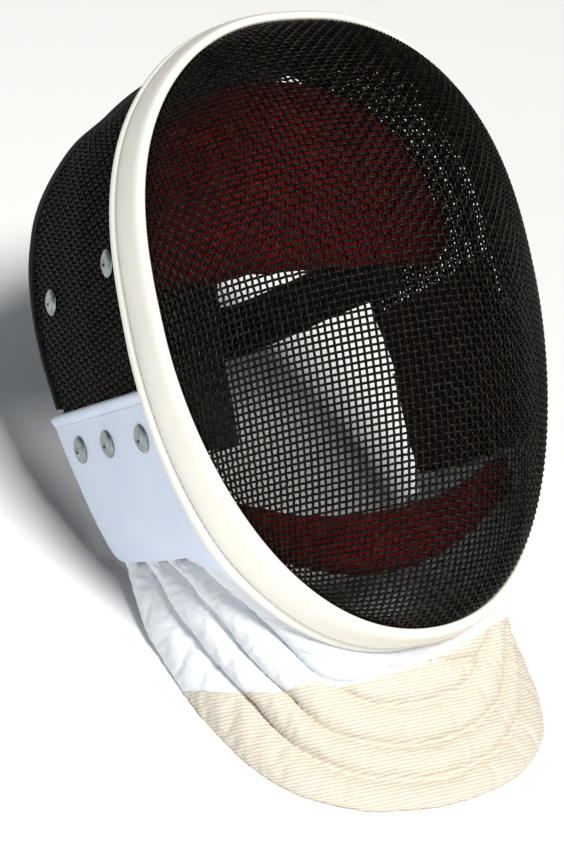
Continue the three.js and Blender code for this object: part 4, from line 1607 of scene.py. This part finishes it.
# Throat bib
@dataclass
class Bib:
    """The quilted throat bib: padded rolls between sewn seams, with a ribbed cover on its lower part."""

    wall: float = 9.5
    top_wall: float = 4.5
    full_wall_from: float = 0.2
    groove: float = 6.6
    edge_round: float = 3.0
    seat: float = -0.6
    tuck: float = 9.6
    tuck_share: float = 0.12
    jaw_share: float = 0.371
    corner: tuple = (0.3549, 124.6)
    end: float = 1.012
    columns: int = 420
    roll_rows: int = 11
    cover_lift: float = 0.45
    girth: float = 190.0
    sewn_from: float = 0.72
    inside: tuple = (0.98, 0.03, 0.97)
    nudge: tuple = (0.01, 0.02)
    throat: tuple = (0, 80, -60)
    full_roll: float = 7.0
    roll_sharpness: float = 2.2
    top_round: float = 0.5
    level_from: float = 0.9
    pucker: float = 0.16
    pucker_turns: float = 96.0
    bib_rows: int = 64
    cover_rows: int = 56
    back_rows: int = 14
    lap: float = 0.02
    uncovered: float = 1.02
    cover_least: float = 0.001
    stuffing: Stuffing = Stuffing(pressure=60.0, most=2.6, slack=0.025)
    rim: Table = field(
        default_factory=lambda: Table(
            [
                (0, 0, 4.7, 0),
                (0.131, 31.5, 7.4, 0),
                (0.248, 57, 15.8, 0),
                (0.361, 75.4, 29.6, 0),
                (0.484, 85, 48.7, 0),
                (0.633, 89.7, 72.9, 0),
                (0.801, 90.4, 98.8, 2.9),
                (1, 85.3, 120.3, 22),
            ],
            odd=(1,),
        )
    )
    top: Table = field(
        default_factory=lambda: Table(
            [(0, 25), (0.24, 25), (0.47, 25.2), (0.64, 26), (0.77, 28.6), (0.91, 33), (1, 47)]
        )
    )
    seams: Table = field(
        default_factory=lambda: Table(
            [
                (0, 0.14, 0.375, 0.602, 0.806),
                (0.1, 0.158, 0.362, 0.592, 0.784),
                (0.18, 0.2, 0.34, 0.572, 0.768),
                (0.26, 0.243, 0.296, 0.56, 0.742),
                (0.33, 0.255, 0.268, 0.51, 0.712),
                (0.43, 0.222, 0.235, 0.455, 0.68),
                (0.5, 0.196, 0.209, 0.45, 0.65),
                (0.64, 0.17, 0.183, 0.43, 0.65),
                (0.76, 0.176, 0.189, 0.398, 0.664),
                (0.87, 0.2, 0.213, 0.41, 0.69),
                (1, 0.24, 0.253, 0.49, 0.76),
            ]
        )
    )
    border: Table = field(
        default_factory=lambda: Table(
            [
                (-110, -147),
                (-90, -153.5),
                (-74, -160.5),
                (-62, -163.8),
                (-48, -163),
                (-37, -166.6),
                (-26, -167),
                (-9, -165.8),
                (6, -164.2),
                (24, -159),
                (42, -154.5),
                (52, -152),
                (74, -149),
                (90, -147),
                (110, -146),
            ],
            mirrored=False,
        )
    )

    def surface(self, place: np.ndarray, down: np.ndarray) -> np.ndarray:
        """Return points of the smooth surface under the rolls.

        Args:
            place: Places round the bib, from -1 to 1, positive on the wearer's right.
            down: Shares of the way from the upper edge to the rim; below 0 is tucked in.

        Returns:
            The points, in the mask's own frame.
        """
        place, down = np.broadcast_arrays(np.asarray(place, float), np.asarray(down, float))
        side = np.where(place < 0, -1.0, 1.0)
        across = np.minimum(np.abs(place), 1)
        share = side * mix(0.5, self.jaw_share, across)
        (back,) = self.top.at(across)
        top = SHELL.skin(share, back + np.minimum(down, 0) * self.tuck / self.tuck_share, self.seat)
        x, y, rise = self.rim.at(across)
        rim = np.stack([-side * x, y, floor_height(y) + rise], -1)
        points = mix(top, rim, np.clip(down, 0, 1)[..., None])
        under = np.abs(place) - 1
        beyond = mix(self.jaw_share, self.corner[0], down) - under
        corner = SHELL.skin(side * beyond, mix(self.top.at(1.0)[0], self.corner[1], down), self.seat)
        return np.where((under > 0)[..., None], corner, points)

    def outward(self, place: np.ndarray, down: np.ndarray) -> np.ndarray:
        """Find which way is out.

        Args:
            place: Places round the bib.
            down: Shares of the way down.

        Returns:
            Directions away from the throat.
        """
        place_end, down_start, down_end = self.inside
        place, down = np.clip(place, -place_end, place_end), np.clip(down, down_start, down_end)
        aside, below = self.nudge
        along = self.surface(place + aside, down) - self.surface(place - aside, down)
        across = self.surface(place, down + below) - self.surface(place, down - below)
        normal = unit(np.cross(along, across))
        away = ((self.surface(place, down) - self.throat) * normal).sum(-1, keepdims=True)
        return normal * np.where(away < 0, -1, 1)

    def inset(self, place: np.ndarray, down: np.ndarray, depth: np.ndarray) -> np.ndarray:
        """Push the surface in, with its rim kept level on the floor.

        Args:
            place: Places round the bib.
            down: Shares of the way down.
            depth: How far each point is pushed in.

        Returns:
            The points, in the mask's own frame.
        """
        place, down, depth = np.broadcast_arrays(place, down, depth)
        outward = self.outward(place, down)
        points = self.surface(place, down) - outward * depth[..., None]
        inner = np.clip(place, -self.inside[0], self.inside[0])
        along = unit(self.surface(inner, np.ones_like(inner)) - self.surface(inner, np.zeros_like(inner)))
        downwards = np.array([0, math.sin(LEAN), -math.cos(LEAN)])
        raised = (outward @ downwards) * depth / (along @ downwards)
        level = points + along * raised[..., None]
        return mix(points, level, ease(self.level_from, 1.0, down)[..., None])

    def rolls(self, place: np.ndarray) -> tuple[np.ndarray, np.ndarray]:
        """Return how far down each row lies and how deep, roll by roll, at each place.

        Args:
            place: Places round the bib.

        Returns:
            Two grids by place and row: the shares down, and the depths.
        """
        seams = self.seams.at(np.clip(place, -1, 1))
        ends = np.stack([np.zeros_like(place), *seams, np.ones_like(place)], -1)
        height = np.linalg.norm(self.surface(place, 1.0) - self.surface(place, 0.0), axis=-1)
        depths = [self.top_round, *[self.groove] * len(seams), self.edge_round]
        downs, sunk = [], []
        for k in range(len(seams) + 1):
            width = (ends[:, k + 1] - ends[:, k]) * height
            crest = self.groove * np.clip(1 - width / self.full_roll, 0, 1)
            phase = 0.5 - 0.5 * np.cos(np.pi * np.arange(self.roll_rows) / self.roll_rows)
            for u in phase:
                edge = np.maximum(depths[k] if u < 0.5 else depths[k + 1], crest)
                dip = 1 - np.sqrt(np.clip(1 - abs(2 * u - 1) ** self.roll_sharpness, 0, 1))
                downs.append(mix(ends[:, k], ends[:, k + 1], u))
                sunk.append(mix(crest, edge, dip))
        downs.append(np.ones_like(place))
        sunk.append(np.full_like(place, self.edge_round))
        return np.stack(downs, -1), np.stack(sunk, -1)

    def creases(self, place: np.ndarray, down: np.ndarray) -> np.ndarray:
        """Shape small puckers that run across the rolls from the seams.

        Args:
            place: Places round the bib.
            down: Shares of the way down.

        Returns:
            Their height, in millimetres.
        """
        turns = place * self.pucker_turns
        wander = np.sin(turns * 0.73 + 9 * down) + 0.6 * np.sin(turns * 1.9 - 14 * down + 1.3)
        return self.pucker * wander * np.sin(turns * 0.21 + 5 * down)

    def border_down(self, place: np.ndarray, downs: np.ndarray, sunk: np.ndarray) -> np.ndarray:
        """Find the cover's upper border on the rolls.

        Args:
            place: Places round the bib.
            downs: The shares down of the rolls' rows.
            sunk: The depths of the same rows.

        Returns:
            The share down at which the cover starts, at each place.
        """
        points = self.inset(place[:, None], downs, sunk)
        above = points[..., 2] - self.border.at(points[..., 0])[0]
        found = np.full(len(place), self.uncovered)
        for i in range(len(place)):
            below = np.flatnonzero(above[i] < 0)
            if len(below) and below[0] > 0:
                k = below[0]
                t = above[i, k - 1] / (above[i, k - 1] - above[i, k])
                found[i] = mix(downs[i, k - 1], downs[i, k], t)
        return found

    def section(
        self, place: np.ndarray, start: np.ndarray, end: np.ndarray, lift: float, rows: int
    ) -> tuple[np.ndarray, np.ndarray, np.ndarray]:
        """Return a closed band of the bib between two shares down, front and back.

        Args:
            place: Places round the bib.
            start: The share down at which the band starts, at each place.
            end: The share down at which it ends.
            lift: How far the band stands off the rolls in front.
            rows: How many rows its front has.

        Returns:
            The grid of points by place and row, a closed loop at each place; their levels on the cloth;
            and which of them stay sewn down.
        """
        downs, sunk = self.rolls(place)
        even = np.linspace(0, 1, rows)
        front_down = mix(start[:, None], end[:, None], even[None, :])
        depth = np.stack([np.interp(front_down[i], downs[i], sunk[i]) for i in range(len(place))])
        hem = np.minimum(even, 1 - even)[None, :] * rows
        creases = self.creases(place[:, None], front_down) * (front_down > 0)
        depth = depth - lift * np.clip(hem, 0, 1) - creases
        front = self.inset(place[:, None], front_down, depth)
        back_down = mix(end[:, None], start[:, None], np.linspace(0, 1, self.back_rows)[None, :])
        wall = mix(self.top_wall, self.wall, np.clip(back_down / self.full_wall_from, 0, 1)) + lift
        back = self.inset(place[:, None], back_down, wall)
        points = np.concatenate([front, back], 1)
        points[..., 2] = np.maximum(points[..., 2], floor_height(points[..., 1]))
        downs = np.concatenate([front_down, back_down], 1)
        sewn = np.ones(points.shape[:2], bool)
        sewn[1:-1, 2 : rows - 2] = depth[1:-1, 2:-2] > self.sewn_from * self.groove
        return points, self.surface(place[:, None], downs)[..., 2], sewn

    def build(self, shop: Workshop) -> None:
        """Build the bib and its cover and dress both.

        Args:
            shop: The finishes and the trees.
        """
        place = np.linspace(-self.end, self.end, self.columns + 1)
        downs, sunk = self.rolls(place)
        start = self.border_down(place, downs, sunk)
        top = np.full_like(place, -self.tuck_share)
        bib = self.section(place, top, np.minimum(start + self.lap, 1.0), 0.0, self.bib_rows)
        made = self.piece("quilted_bib", *bib, place)
        shop.dress(made, Finish.BIB, "bib")
        covered = np.flatnonzero(start < 1 - 2 * self.cover_least)
        kept = slice(max(covered[0] - 1, 0), covered[-1] + 2)
        place = place[kept]
        border = np.minimum(start[kept], 1 - self.cover_least)
        cover = self.section(place, border, np.ones_like(place), self.cover_lift, self.cover_rows)
        made = self.piece("bib_cover_cloth", *cover, place)
        shop.dress(made, Finish.COVER, "bib_cover")

    def piece(
        self, name: str, points: np.ndarray, levels: np.ndarray, sewn: np.ndarray, place: np.ndarray
    ) -> bpy.types.Object:
        """Make the bib or its cover.

        Args:
            name: The piece's name.
            points: Its grid of points.
            levels: Their levels on the cloth.
            sewn: Which of them stay sewn down.
            place: The places round the bib.

        Returns:
            The piece, swelled between its seams.
        """
        levels = np.concatenate([levels, levels[:, :1]], 1)
        across = np.broadcast_to((place * self.girth)[:, None], levels.shape)
        made = grid_object(name, points, False, True, True, np.stack([across, levels], -1) * MILLIMETRE)
        return self.stuffing.fill(made, np.flatnonzero(sewn))


# Inside: pads, tongue and strap
PAD_STUFFING = Stuffing(pressure=4.0, most=1.6, voxel=4.0)


@dataclass
class HangingPad:
    """A padded piece that hangs across the hollow, plump between its edges."""

    name: str
    node: str
    outline: Table
    profile: Table
    reach: float
    wall: float = 14.0
    shrink: float = 0.8
    edge_share: float = 0.35
    side_round: int = 6
    end_round: int = 8
    columns: int = 61
    rows: int = 29

    def build(self, shop: Workshop) -> None:
        """Build the pad and dress it.

        Args:
            shop: The finishes and the trees.
        """
        x = self.reach * np.sin(np.linspace(-math.pi / 2, math.pi / 2, self.columns))[:, None]
        top, bottom, recede = self.outline.at(x)
        down = np.linspace(0, 1, self.rows)[None, :]
        (face,) = self.profile.at(down)
        middle = mix(top, bottom, down)
        inner = np.stack(np.broadcast_arrays(x, face + recede, middle), -1)
        side = 1 - (np.abs(x) / self.reach) ** self.side_round
        ends = 1 - np.abs(2 * down - 1) ** self.end_round
        full = np.sqrt(np.clip(side * ends, 0, 1))[..., None]
        half = np.array([0, self.wall / 2, 0])
        thick = half * mix(self.edge_share, 1.0, full) - np.array([0, self.shrink, 0])
        points = np.concatenate([inner + half - thick, (inner + half + thick)[:, ::-1]], 1)
        made = PAD_STUFFING.fill(grid_object(self.name, points, False, True, True))
        shop.dress(made, Finish.RED, self.node)


@dataclass
class CheekPad:
    """A long cheek pad against the wire side."""

    side: Side
    start: float = 0.213
    end: float = 0.34
    fronts: tuple = (20.0, 7.0)
    rear: float = 8.2
    outer: float = -2.6
    lift: float = -15.5
    edge_wall: float = 0.6
    side_round: int = 3
    end_round: int = 6
    columns: int = 49
    rows: int = 41

    def build(self, shop: Workshop) -> None:
        """Build the pad and dress it.

        Args:
            shop: The finishes and the trees.
        """
        u = np.linspace(0, 1, self.columns)[:, None]
        v = np.linspace(0, 1, self.rows)[None, :]
        share = mix(self.start, self.end, u) * np.ones_like(v)
        back = mix(mix(*self.fronts, u), MESH_REAR.at(share)[0] - self.rear, v)
        share = self.side.value * share
        side = 1 - np.abs(2 * u - 1) ** self.side_round
        full = np.sqrt(np.clip(side * (1 - np.abs(2 * v - 1) ** self.end_round), 0, 1))
        inner = SHELL.skin(share, back, mix(self.outer - self.edge_wall, self.lift, full))
        outer = SHELL.skin(share, back, self.outer)
        points = np.concatenate([inner, outer[:, ::-1]], 1)
        name = self.side.name.lower()
        made = PAD_STUFFING.fill(grid_object(f"cheek_pad_cover_{name}", points, False, True, True))
        # The cheek pads take the red plush with painted shade.
        shop.dress(made, Finish.DARK, f"cheek_pad_{name}")


def smooth_sections(grid: np.ndarray, steps: int) -> np.ndarray:
    """Put smooth sections in between, on curves through the given ones.

    Args:
        grid: The sections, one after another.
        steps: How many sections each gap is cut into.

    Returns:
        The sections with the new ones between them.
    """
    found = []
    for i in range(len(grid) - 1):
        a, b = grid[i], grid[i + 1]
        before = b - grid[i - 1] if i else 2 * (b - a)
        after = grid[i + 2] - a if i + 2 < len(grid) else 2 * (b - a)
        for u in np.arange(steps) / steps:
            found.append(
                (1 + 2 * u) * (1 - u) ** 2 * a
                + u * (1 - u) ** 2 * before / 2
                + u * u * (3 - 2 * u) * b
                + u * u * (u - 1) * after / 2
            )
    return np.array([*found, grid[-1]])


@dataclass
class Tongue:
    """The covered spring tongue from under the crown down behind the head."""

    half_width: float = 33.0
    half_wall: float = 1.5
    seat_lift: float = -2.6
    seat_backs: tuple = (34, 46, 60, 74)
    path: tuple = (
        (86, 144.8, 1.5, 33, 3),
        (106, 142, 1.6, 33, 1.5),
        (132, 133, 1.8, 33, 0.6),
        (156, 116, 2, 33, 0),
        (177, 90, 2.5, 33, 0),
        (192, 58, 3, 33, 0),
        (199.5, 24, 3.8, 33, 0),
        (199.5, 0, 4, 32.5, 0),
    )
    end: tuple = (195.0, 4.0, 29.0)
    shrink: float = 0.15
    side_round: int = 10
    columns: int = 15
    steps: int = 9
    cloth_step: float = 5.0
    girth: float = 140.0

    def build(self, shop: Workshop) -> None:
        """Build the tongue and dress it.

        Args:
            shop: The finishes and the trees.
        """
        across = np.sin(np.linspace(-math.pi / 2, math.pi / 2, self.columns))
        round_edge = np.sqrt(np.clip(1 - np.abs(across) ** self.side_round, 0, 1))
        sections = []
        for back in self.seat_backs:
            share = -across * self.half_width / SHELL.length
            middle = self.seat_lift - self.half_wall
            sections.append(
                (SHELL.skin(share, float(back), middle), SHELL.outward(share), self.half_wall * round_edge)
            )
        rows = np.array(self.path)
        line = np.stack([0 * rows[:, 0], rows[:, 0], rows[:, 1]], -1)
        foot = np.array([0, self.end[0], float(floor_height(self.end[0]))])
        whole = np.vstack([line, foot])
        for i, (_, _, wall, width, sag) in enumerate(rows):
            ahead = unit(whole[i + 1] - whole[max(i - 1, 0)])
            out = np.array([0, -ahead[2], ahead[1]])
            points = line[i] + np.stack([across * width, 0 * across, 0 * across], -1)
            points = points - out * (sag * across**2)[:, None]
            sections.append((points, np.broadcast_to(out, points.shape), wall * round_edge))
        level = np.array([0, math.cos(LEAN), math.sin(LEAN)])
        points = foot + np.stack([across * self.end[2], 0 * across, 0 * across], -1)
        sections.append((points, np.broadcast_to(level, points.shape), self.end[1] * round_edge))
        middles, outs, walls = (np.array(values) for values in zip(*sections))
        thick = outs * (walls - self.shrink)[..., None]
        grid = np.concatenate([middles + thick, (middles - thick)[:, ::-1]], 1)
        grid = smooth_sections(grid, self.steps)
        lengths = np.arange(len(grid))[:, None] * self.cloth_step
        widths = np.linspace(0, self.girth, grid.shape[1] + 1)[None, :]
        places = np.stack(np.broadcast_arrays(widths, lengths), -1) * MILLIMETRE
        made = grid_object("tongue_cover", grid, False, True, True, places)
        shop.dress(made, Finish.WEBBING, "tongue")


@dataclass
class Strap:
    """The elastic strap from one side wall round behind the tongue to the other."""

    width: float = 28.0
    wall: float = 2.0
    seat_share: float = 0.1915
    seat_backs: tuple = (100, 110, 120)
    seat_lift: float = -2.3
    path: tuple = (
        (85, 138, 46),
        (76, 158, 45),
        (66, 178, 43),
        (58, 193, 42),
        (50, 202, 41),
        (38, 207, 40),
        (19, 208, 40),
        (0, 208, 40),
    )
    columns: int = 9
    steps: int = 6
    girth: float = 60.0

    def build(self, shop: Workshop) -> None:
        """Build the strap and dress it.

        Args:
            shop: The finishes and the trees.
        """
        turned = self.width / 2 / SHELL.length
        rise = np.linspace(1, -1, self.columns)
        sections = []
        for back in self.seat_backs:
            share = self.seat_share - rise * turned
            outer = SHELL.skin(share, float(back), self.seat_lift)
            inner = SHELL.skin(share, float(back), self.seat_lift - self.wall)
            sections.append(np.concatenate([outer, inner[::-1]]))
        rows = np.array(self.path, float)
        for i, (x, y, z) in enumerate(rows):
            before = rows[max(i - 1, 0)]
            after = rows[i + 1] if i + 1 < len(rows) else rows[i - 1] * (-1, 1, 1)
            out = unit(np.array([before[1] - after[1], before[0] - after[0], 0.0]))
            edge = np.stack(np.broadcast_arrays(-x, y, z + rise * self.width / 2), -1)
            outer, inner = edge + out * self.wall / 2, edge - out * self.wall / 2
            sections.append(np.concatenate([outer, inner[::-1]]))
        half = np.array(sections)
        other = half[-2::-1] * (-1, 1, 1)
        grid = smooth_sections(np.concatenate([half, other]), self.steps)
        middle = grid[:, self.columns // 2]
        lengths = np.concatenate([[0], np.cumsum(np.linalg.norm(np.diff(middle, axis=0), axis=-1))])
        widths = np.linspace(0, self.girth, grid.shape[1] + 1)[None, :]
        places = np.stack(np.broadcast_arrays(widths, lengths[:, None]), -1) * MILLIMETRE
        made = grid_object("elastic_strap", grid, False, True, True, places)
        shop.dress(made, Finish.WEBBING, "back_strap")


CROWN_PAD = HangingPad(
    "crown_pad_cover",
    "crown_pad",
    Table(
        [
            (0, 128, 31, 0),
            (20, 126.5, 31, 1.5),
            (40, 121, 31, 5.5),
            (60, 109, 31.5, 9),
            (75, 94, 32, 15),
            (86, 73, 32.5, 20),
            (93, 51, 33, 22.5),
            (95.7, 40, 33.5, 23.5),
        ]
    ),
    Table([(0, 36), (0.1, 23), (0.34, 20), (0.65, 28), (1, 38)], mirrored=False),
    95.7,
)
CHIN_PAD = HangingPad(
    "chin_pad_cover",
    "chin_pad",
    Table(
        [
            (0, -89, -121, 0),
            (20, -88, -119, 0.5),
            (40, -85, -113, 2),
            (56, -81, -106, 3.5),
            (68, -77, -99, 5),
            (78, -73.5, -92, 6.5),
            (84.8, -71, -87.5, 8.5),
        ]
    ),
    Table([(0, 12), (0.15, 8.5), (0.3, 9), (0.5, 13), (0.7, 9), (0.88, 8.5), (1, 11)], mirrored=False),
    84.8,
)


# Studio
@dataclass
class Studio:
    """The camera at the photograph's angle, the pale floor and the soft lights."""

    yaw: float = -28.06
    pitch: float = -8.01
    roll: float = -11.87
    distance: float = 1111.2
    target: tuple = (-47.1, 0.0, -47.0)
    focal_pixels: float = 2456.7
    sensor: float = 36.0
    photo_height: int = 848
    nearest: float = 0.05
    aim: tuple = (0, 0, 0.12)
    floor_half: float = 6.0
    sky_colour: Colour = (0.9, 0.95, 1.0)
    sky_strength: float = 0.13

    def camera(self) -> None:
        """Set up the camera."""
        yaw, pitch, roll = (math.radians(v) for v in (self.yaw, self.pitch, self.roll))
        back = np.array(
            [math.sin(yaw) * math.cos(pitch), -math.cos(yaw) * math.cos(pitch), math.sin(pitch)]
        )
        right = np.array([math.cos(yaw), math.sin(yaw), 0])
        up = np.cross(back, right)
        c, s = math.cos(roll), math.sin(roll)
        axes = np.stack([right * c + up * s, up * c - right * s, back])
        place = stand(np.array(self.target) + back * self.distance)
        data = bpy.data.cameras.new("camera")
        data.sensor_width = self.sensor
        data.lens = self.focal_pixels * self.sensor / self.photo_height
        data.clip_start = self.nearest
        camera = bpy.data.objects.new("camera", data)
        bpy.context.scene.collection.objects.link(camera)
        turned = Matrix([list(row) for row in turn(axes).T]).to_4x4()
        camera.matrix_world = Matrix.Translation(Vector(place)) @ turned
        bpy.context.scene.camera = camera

    def area(self, name: str, place: Sequence[float], size: float, power: float, colour: Colour) -> None:
        """Hang one soft light that faces the mask.

        Args:
            name: The light's name.
            place: Where it hangs, in metres.
            size: Its width, in metres.
            power: Its power, in watts.
            colour: Its colour.
        """
        data = bpy.data.lights.new(name, "AREA")
        data.shape = "DISK"
        data.size = size
        data.energy = power
        data.color = colour
        light = bpy.data.objects.new(name, data)
        bpy.context.scene.collection.objects.link(light)
        facing = (Vector(self.aim) - Vector(place)).to_track_quat("-Z", "Y")
        light.matrix_world = Matrix.Translation(Vector(place)) @ facing.to_matrix().to_4x4()

    def build(self) -> None:
        """Set up the camera, floor, sky and lights."""
        self.camera()
        corners = np.array([(-1, -1, 0), (1, -1, 0), (1, 1, 0), (-1, 1, 0)]) * self.floor_half
        floor = new_object("floor", corners, [], [[0, 1, 2, 3]])
        floor.data.materials.append(Pavement().make())
        world = bpy.data.worlds.new("studio")
        bpy.context.scene.world = world
        world.use_nodes = True
        sky = world.node_tree.nodes["Background"]
        sky.inputs["Color"].default_value = (*self.sky_colour, 1)
        sky.inputs["Strength"].default_value = self.sky_strength
        self.area("key", (0.0, -3.27, 5.03), 1.6, 350, (1.0, 0.98, 0.94))
        self.area("fill", (-1.7, -1.0, 0.8), 1.2, 8, (0.84, 0.92, 1.0))
        bpy.context.scene.view_settings.view_transform = "Standard"
        bpy.context.scene.view_settings.look = "Medium High Contrast"


def main() -> None:
    """Build the pieces in order."""
    logging.basicConfig(level=logging.INFO, format="%(name)s: %(message)s")
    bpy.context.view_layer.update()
    Studio().build()
    shop = Workshop()
    pieces = [
        WireFace(),
        WireSide(),
        Rim(),
        JawBand(),
        Stitches(),
        Rivets(),
        Bib(),
        CROWN_PAD,
        CHIN_PAD,
        CheekPad(Side.RIGHT),
        CheekPad(Side.LEFT),
        Tongue(),
        Strap(),
    ]
    for piece in pieces:
        piece.build(shop)
    meshes = [thing for thing in bpy.data.objects if thing.type == "MESH"]
    for shape in meshes:
        if shape.hide_render and "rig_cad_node" not in shape:
            bpy.data.objects.remove(shape)


if __name__ == "__main__":
    main()
